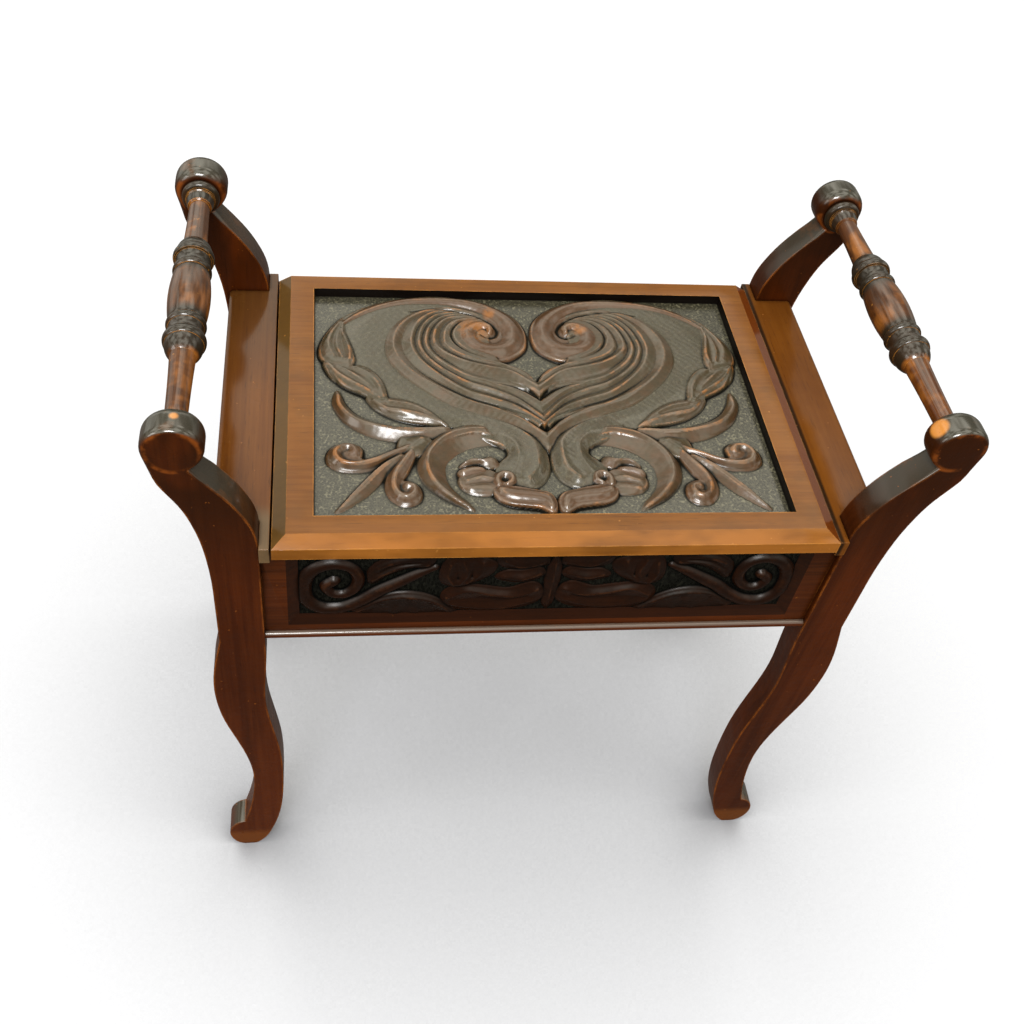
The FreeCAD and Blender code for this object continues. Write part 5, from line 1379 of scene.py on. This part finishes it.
DARK = ((0.035, 0.009, 0.002), (0.10, 0.021, 0.004), (0.15, 0.038, 0.008))
SOFTWOOD = ((0.24, 0.13, 0.060), (0.42, 0.27, 0.14))
FINISH = {
    "leg": board_finish(
        "leg_polish", ((0.045, 0.009, 0.0015), (0.105, 0.019, 0.002), (0.18, 0.042, 0.006),
                       (0.42, 0.12, 0.016)),
        wear=1.0, reach=0.0026, coat=1.0, ior=2.1, figured=0.25, use=leg_wear_and_painted_reflection),
    "lid": board_finish(
        "lid_polish", ((0.20, 0.064, 0.008), (0.29, 0.105, 0.013), (0.37, 0.145, 0.024),
                       (0.66, 0.28, 0.055)), "x", wear=1.0, coat=0.65, use=lid_stains_and_painted_light),
    "seat": board_finish(
        "seat_board_polish", ((0.11, 0.030, 0.003), (0.21, 0.066, 0.007), (0.27, 0.095, 0.014),
                              (0.48, 0.18, 0.04)), "y", coat=0.7, use=seat_tones_and_painted_shade),
    "front": board_finish("front_rail_polish", (*DARK, (0.40, 0.13, 0.02)), "x", coat=1.0,
                          ior=1.8, use=rail_painted_highlight),
    "back": board_finish("back_rail_polish", (*DARK, (0.36, 0.12, 0.02)), "x"),
    "side": board_finish("side_rail_polish", (*DARK, (0.36, 0.12, 0.02)), "y"),
    "turned": board_finish(
        "handrail_polish", ((0.030, 0.010, 0.004), (0.17, 0.044, 0.006), (0.30, 0.095, 0.015),
                            (0.66, 0.27, 0.045)),
        "y", wear=1.0, reach=0.0012, dirt_and_painted_shade=1.0, coat=1.0, ior=1.9, use=turned_use),
    # Lid carving: the olive-grey ground and leaf tones carry a painted sheen of the polish on the
    # dark wood.
    "carved_lid": carved_finish(
        "lid_carving_polish", ((0.085, 0.078, 0.050), (0.074, 0.058, 0.028),
                               (0.125, 0.056, 0.023), (0.50, 0.18, 0.028)),
        upright=0.25, ior=1.9, soft=0.22, pale=0.5,
        glows=(((-0.049, 0.084, 0.5035), 0.020), ((0.047, 0.086, 0.5035), 0.010),
               ((-0.034, 0.104, 0.5035), 0.008))),
    "carved_front": carved_finish(
        "front_carving_polish", ((0.006, 0.006, 0.004), (0.010, 0.004, 0.002),
                                 (0.026, 0.007, 0.002), (0.06, 0.020, 0.007)),
        upright=0.05, ior=1.45, soft=0.34),
    "inner": bare_finish("bare_softwood", *SOFTWOOD),
    "inner_y": bare_finish("bare_softwood_side", *SOFTWOOD, "y"),
    "brass": metal_finish("aged_brass", (0.62, 0.43, 0.18), (0.26, 0.17, 0.08), 0.30),
    "steel": metal_finish("dull_steel", (0.36, 0.35, 0.34), (0.16, 0.14, 0.13), 0.38),
}

# Boards whose pieces stand for their nodes: finish, slot, eased arris in mm, body.
BOARDS = {
    "seat_board_left": ("seat", "lid_wood", 0.6), "seat_board_right": ("seat", "lid_wood", 0.6),
    "side_rail_left": ("side", "leg_wood", 0.5), "side_rail_right": ("side", "leg_wood", 0.5),
    "front_rail": ("front", "carved_wood", 0.5), "front_bead": ("front", "leg_wood", 0.4),
    "back_rail": ("back", "leg_wood", 0.5), "lid": ("lid", "lid_wood", 0.5, "lid"),
}

# Nodes that keep their own shape.
CARRIED = {
    "box_bottom": "inner", "bottom_bearer_front": "inner", "bottom_bearer_rear": "inner",
    "bottom_bearer_left": "inner_y", "bottom_bearer_right": "inner_y",
    "cross_rail_dowels": "inner", "side_rail_dowels": "inner_y",
    "hinge_leaf_fixed_left": "brass", "hinge_leaf_fixed_right": "brass",
    "hinge_leaf_moving_left": "brass", "hinge_leaf_moving_right": "brass",
    "hinge_pin_left": "steel", "hinge_pin_right": "steel",
    "hinge_screws_rail": "brass", "hinge_screws_lid": "brass",
}


def build_stool():
    """Every piece of the stool, in the solids' places."""
    for side, word in ((-1, "left"), (1, "right")):
        sawn_leg("front", side, word)
        sawn_leg("rear", side, word)
    for node, how in BOARDS.items():
        eased_board(node, *how)
    for side, word in ((-1, "left"), (1, "right")):
        turn_handrail(side, word)
    carve_lid()
    carve_front_rail()
    for node, finish in CARRIED.items():
        for place in NODES[node].material_slots:
            place.material = FINISH[finish]


set_camera()
set_light()
lay_floor()
build_stool()
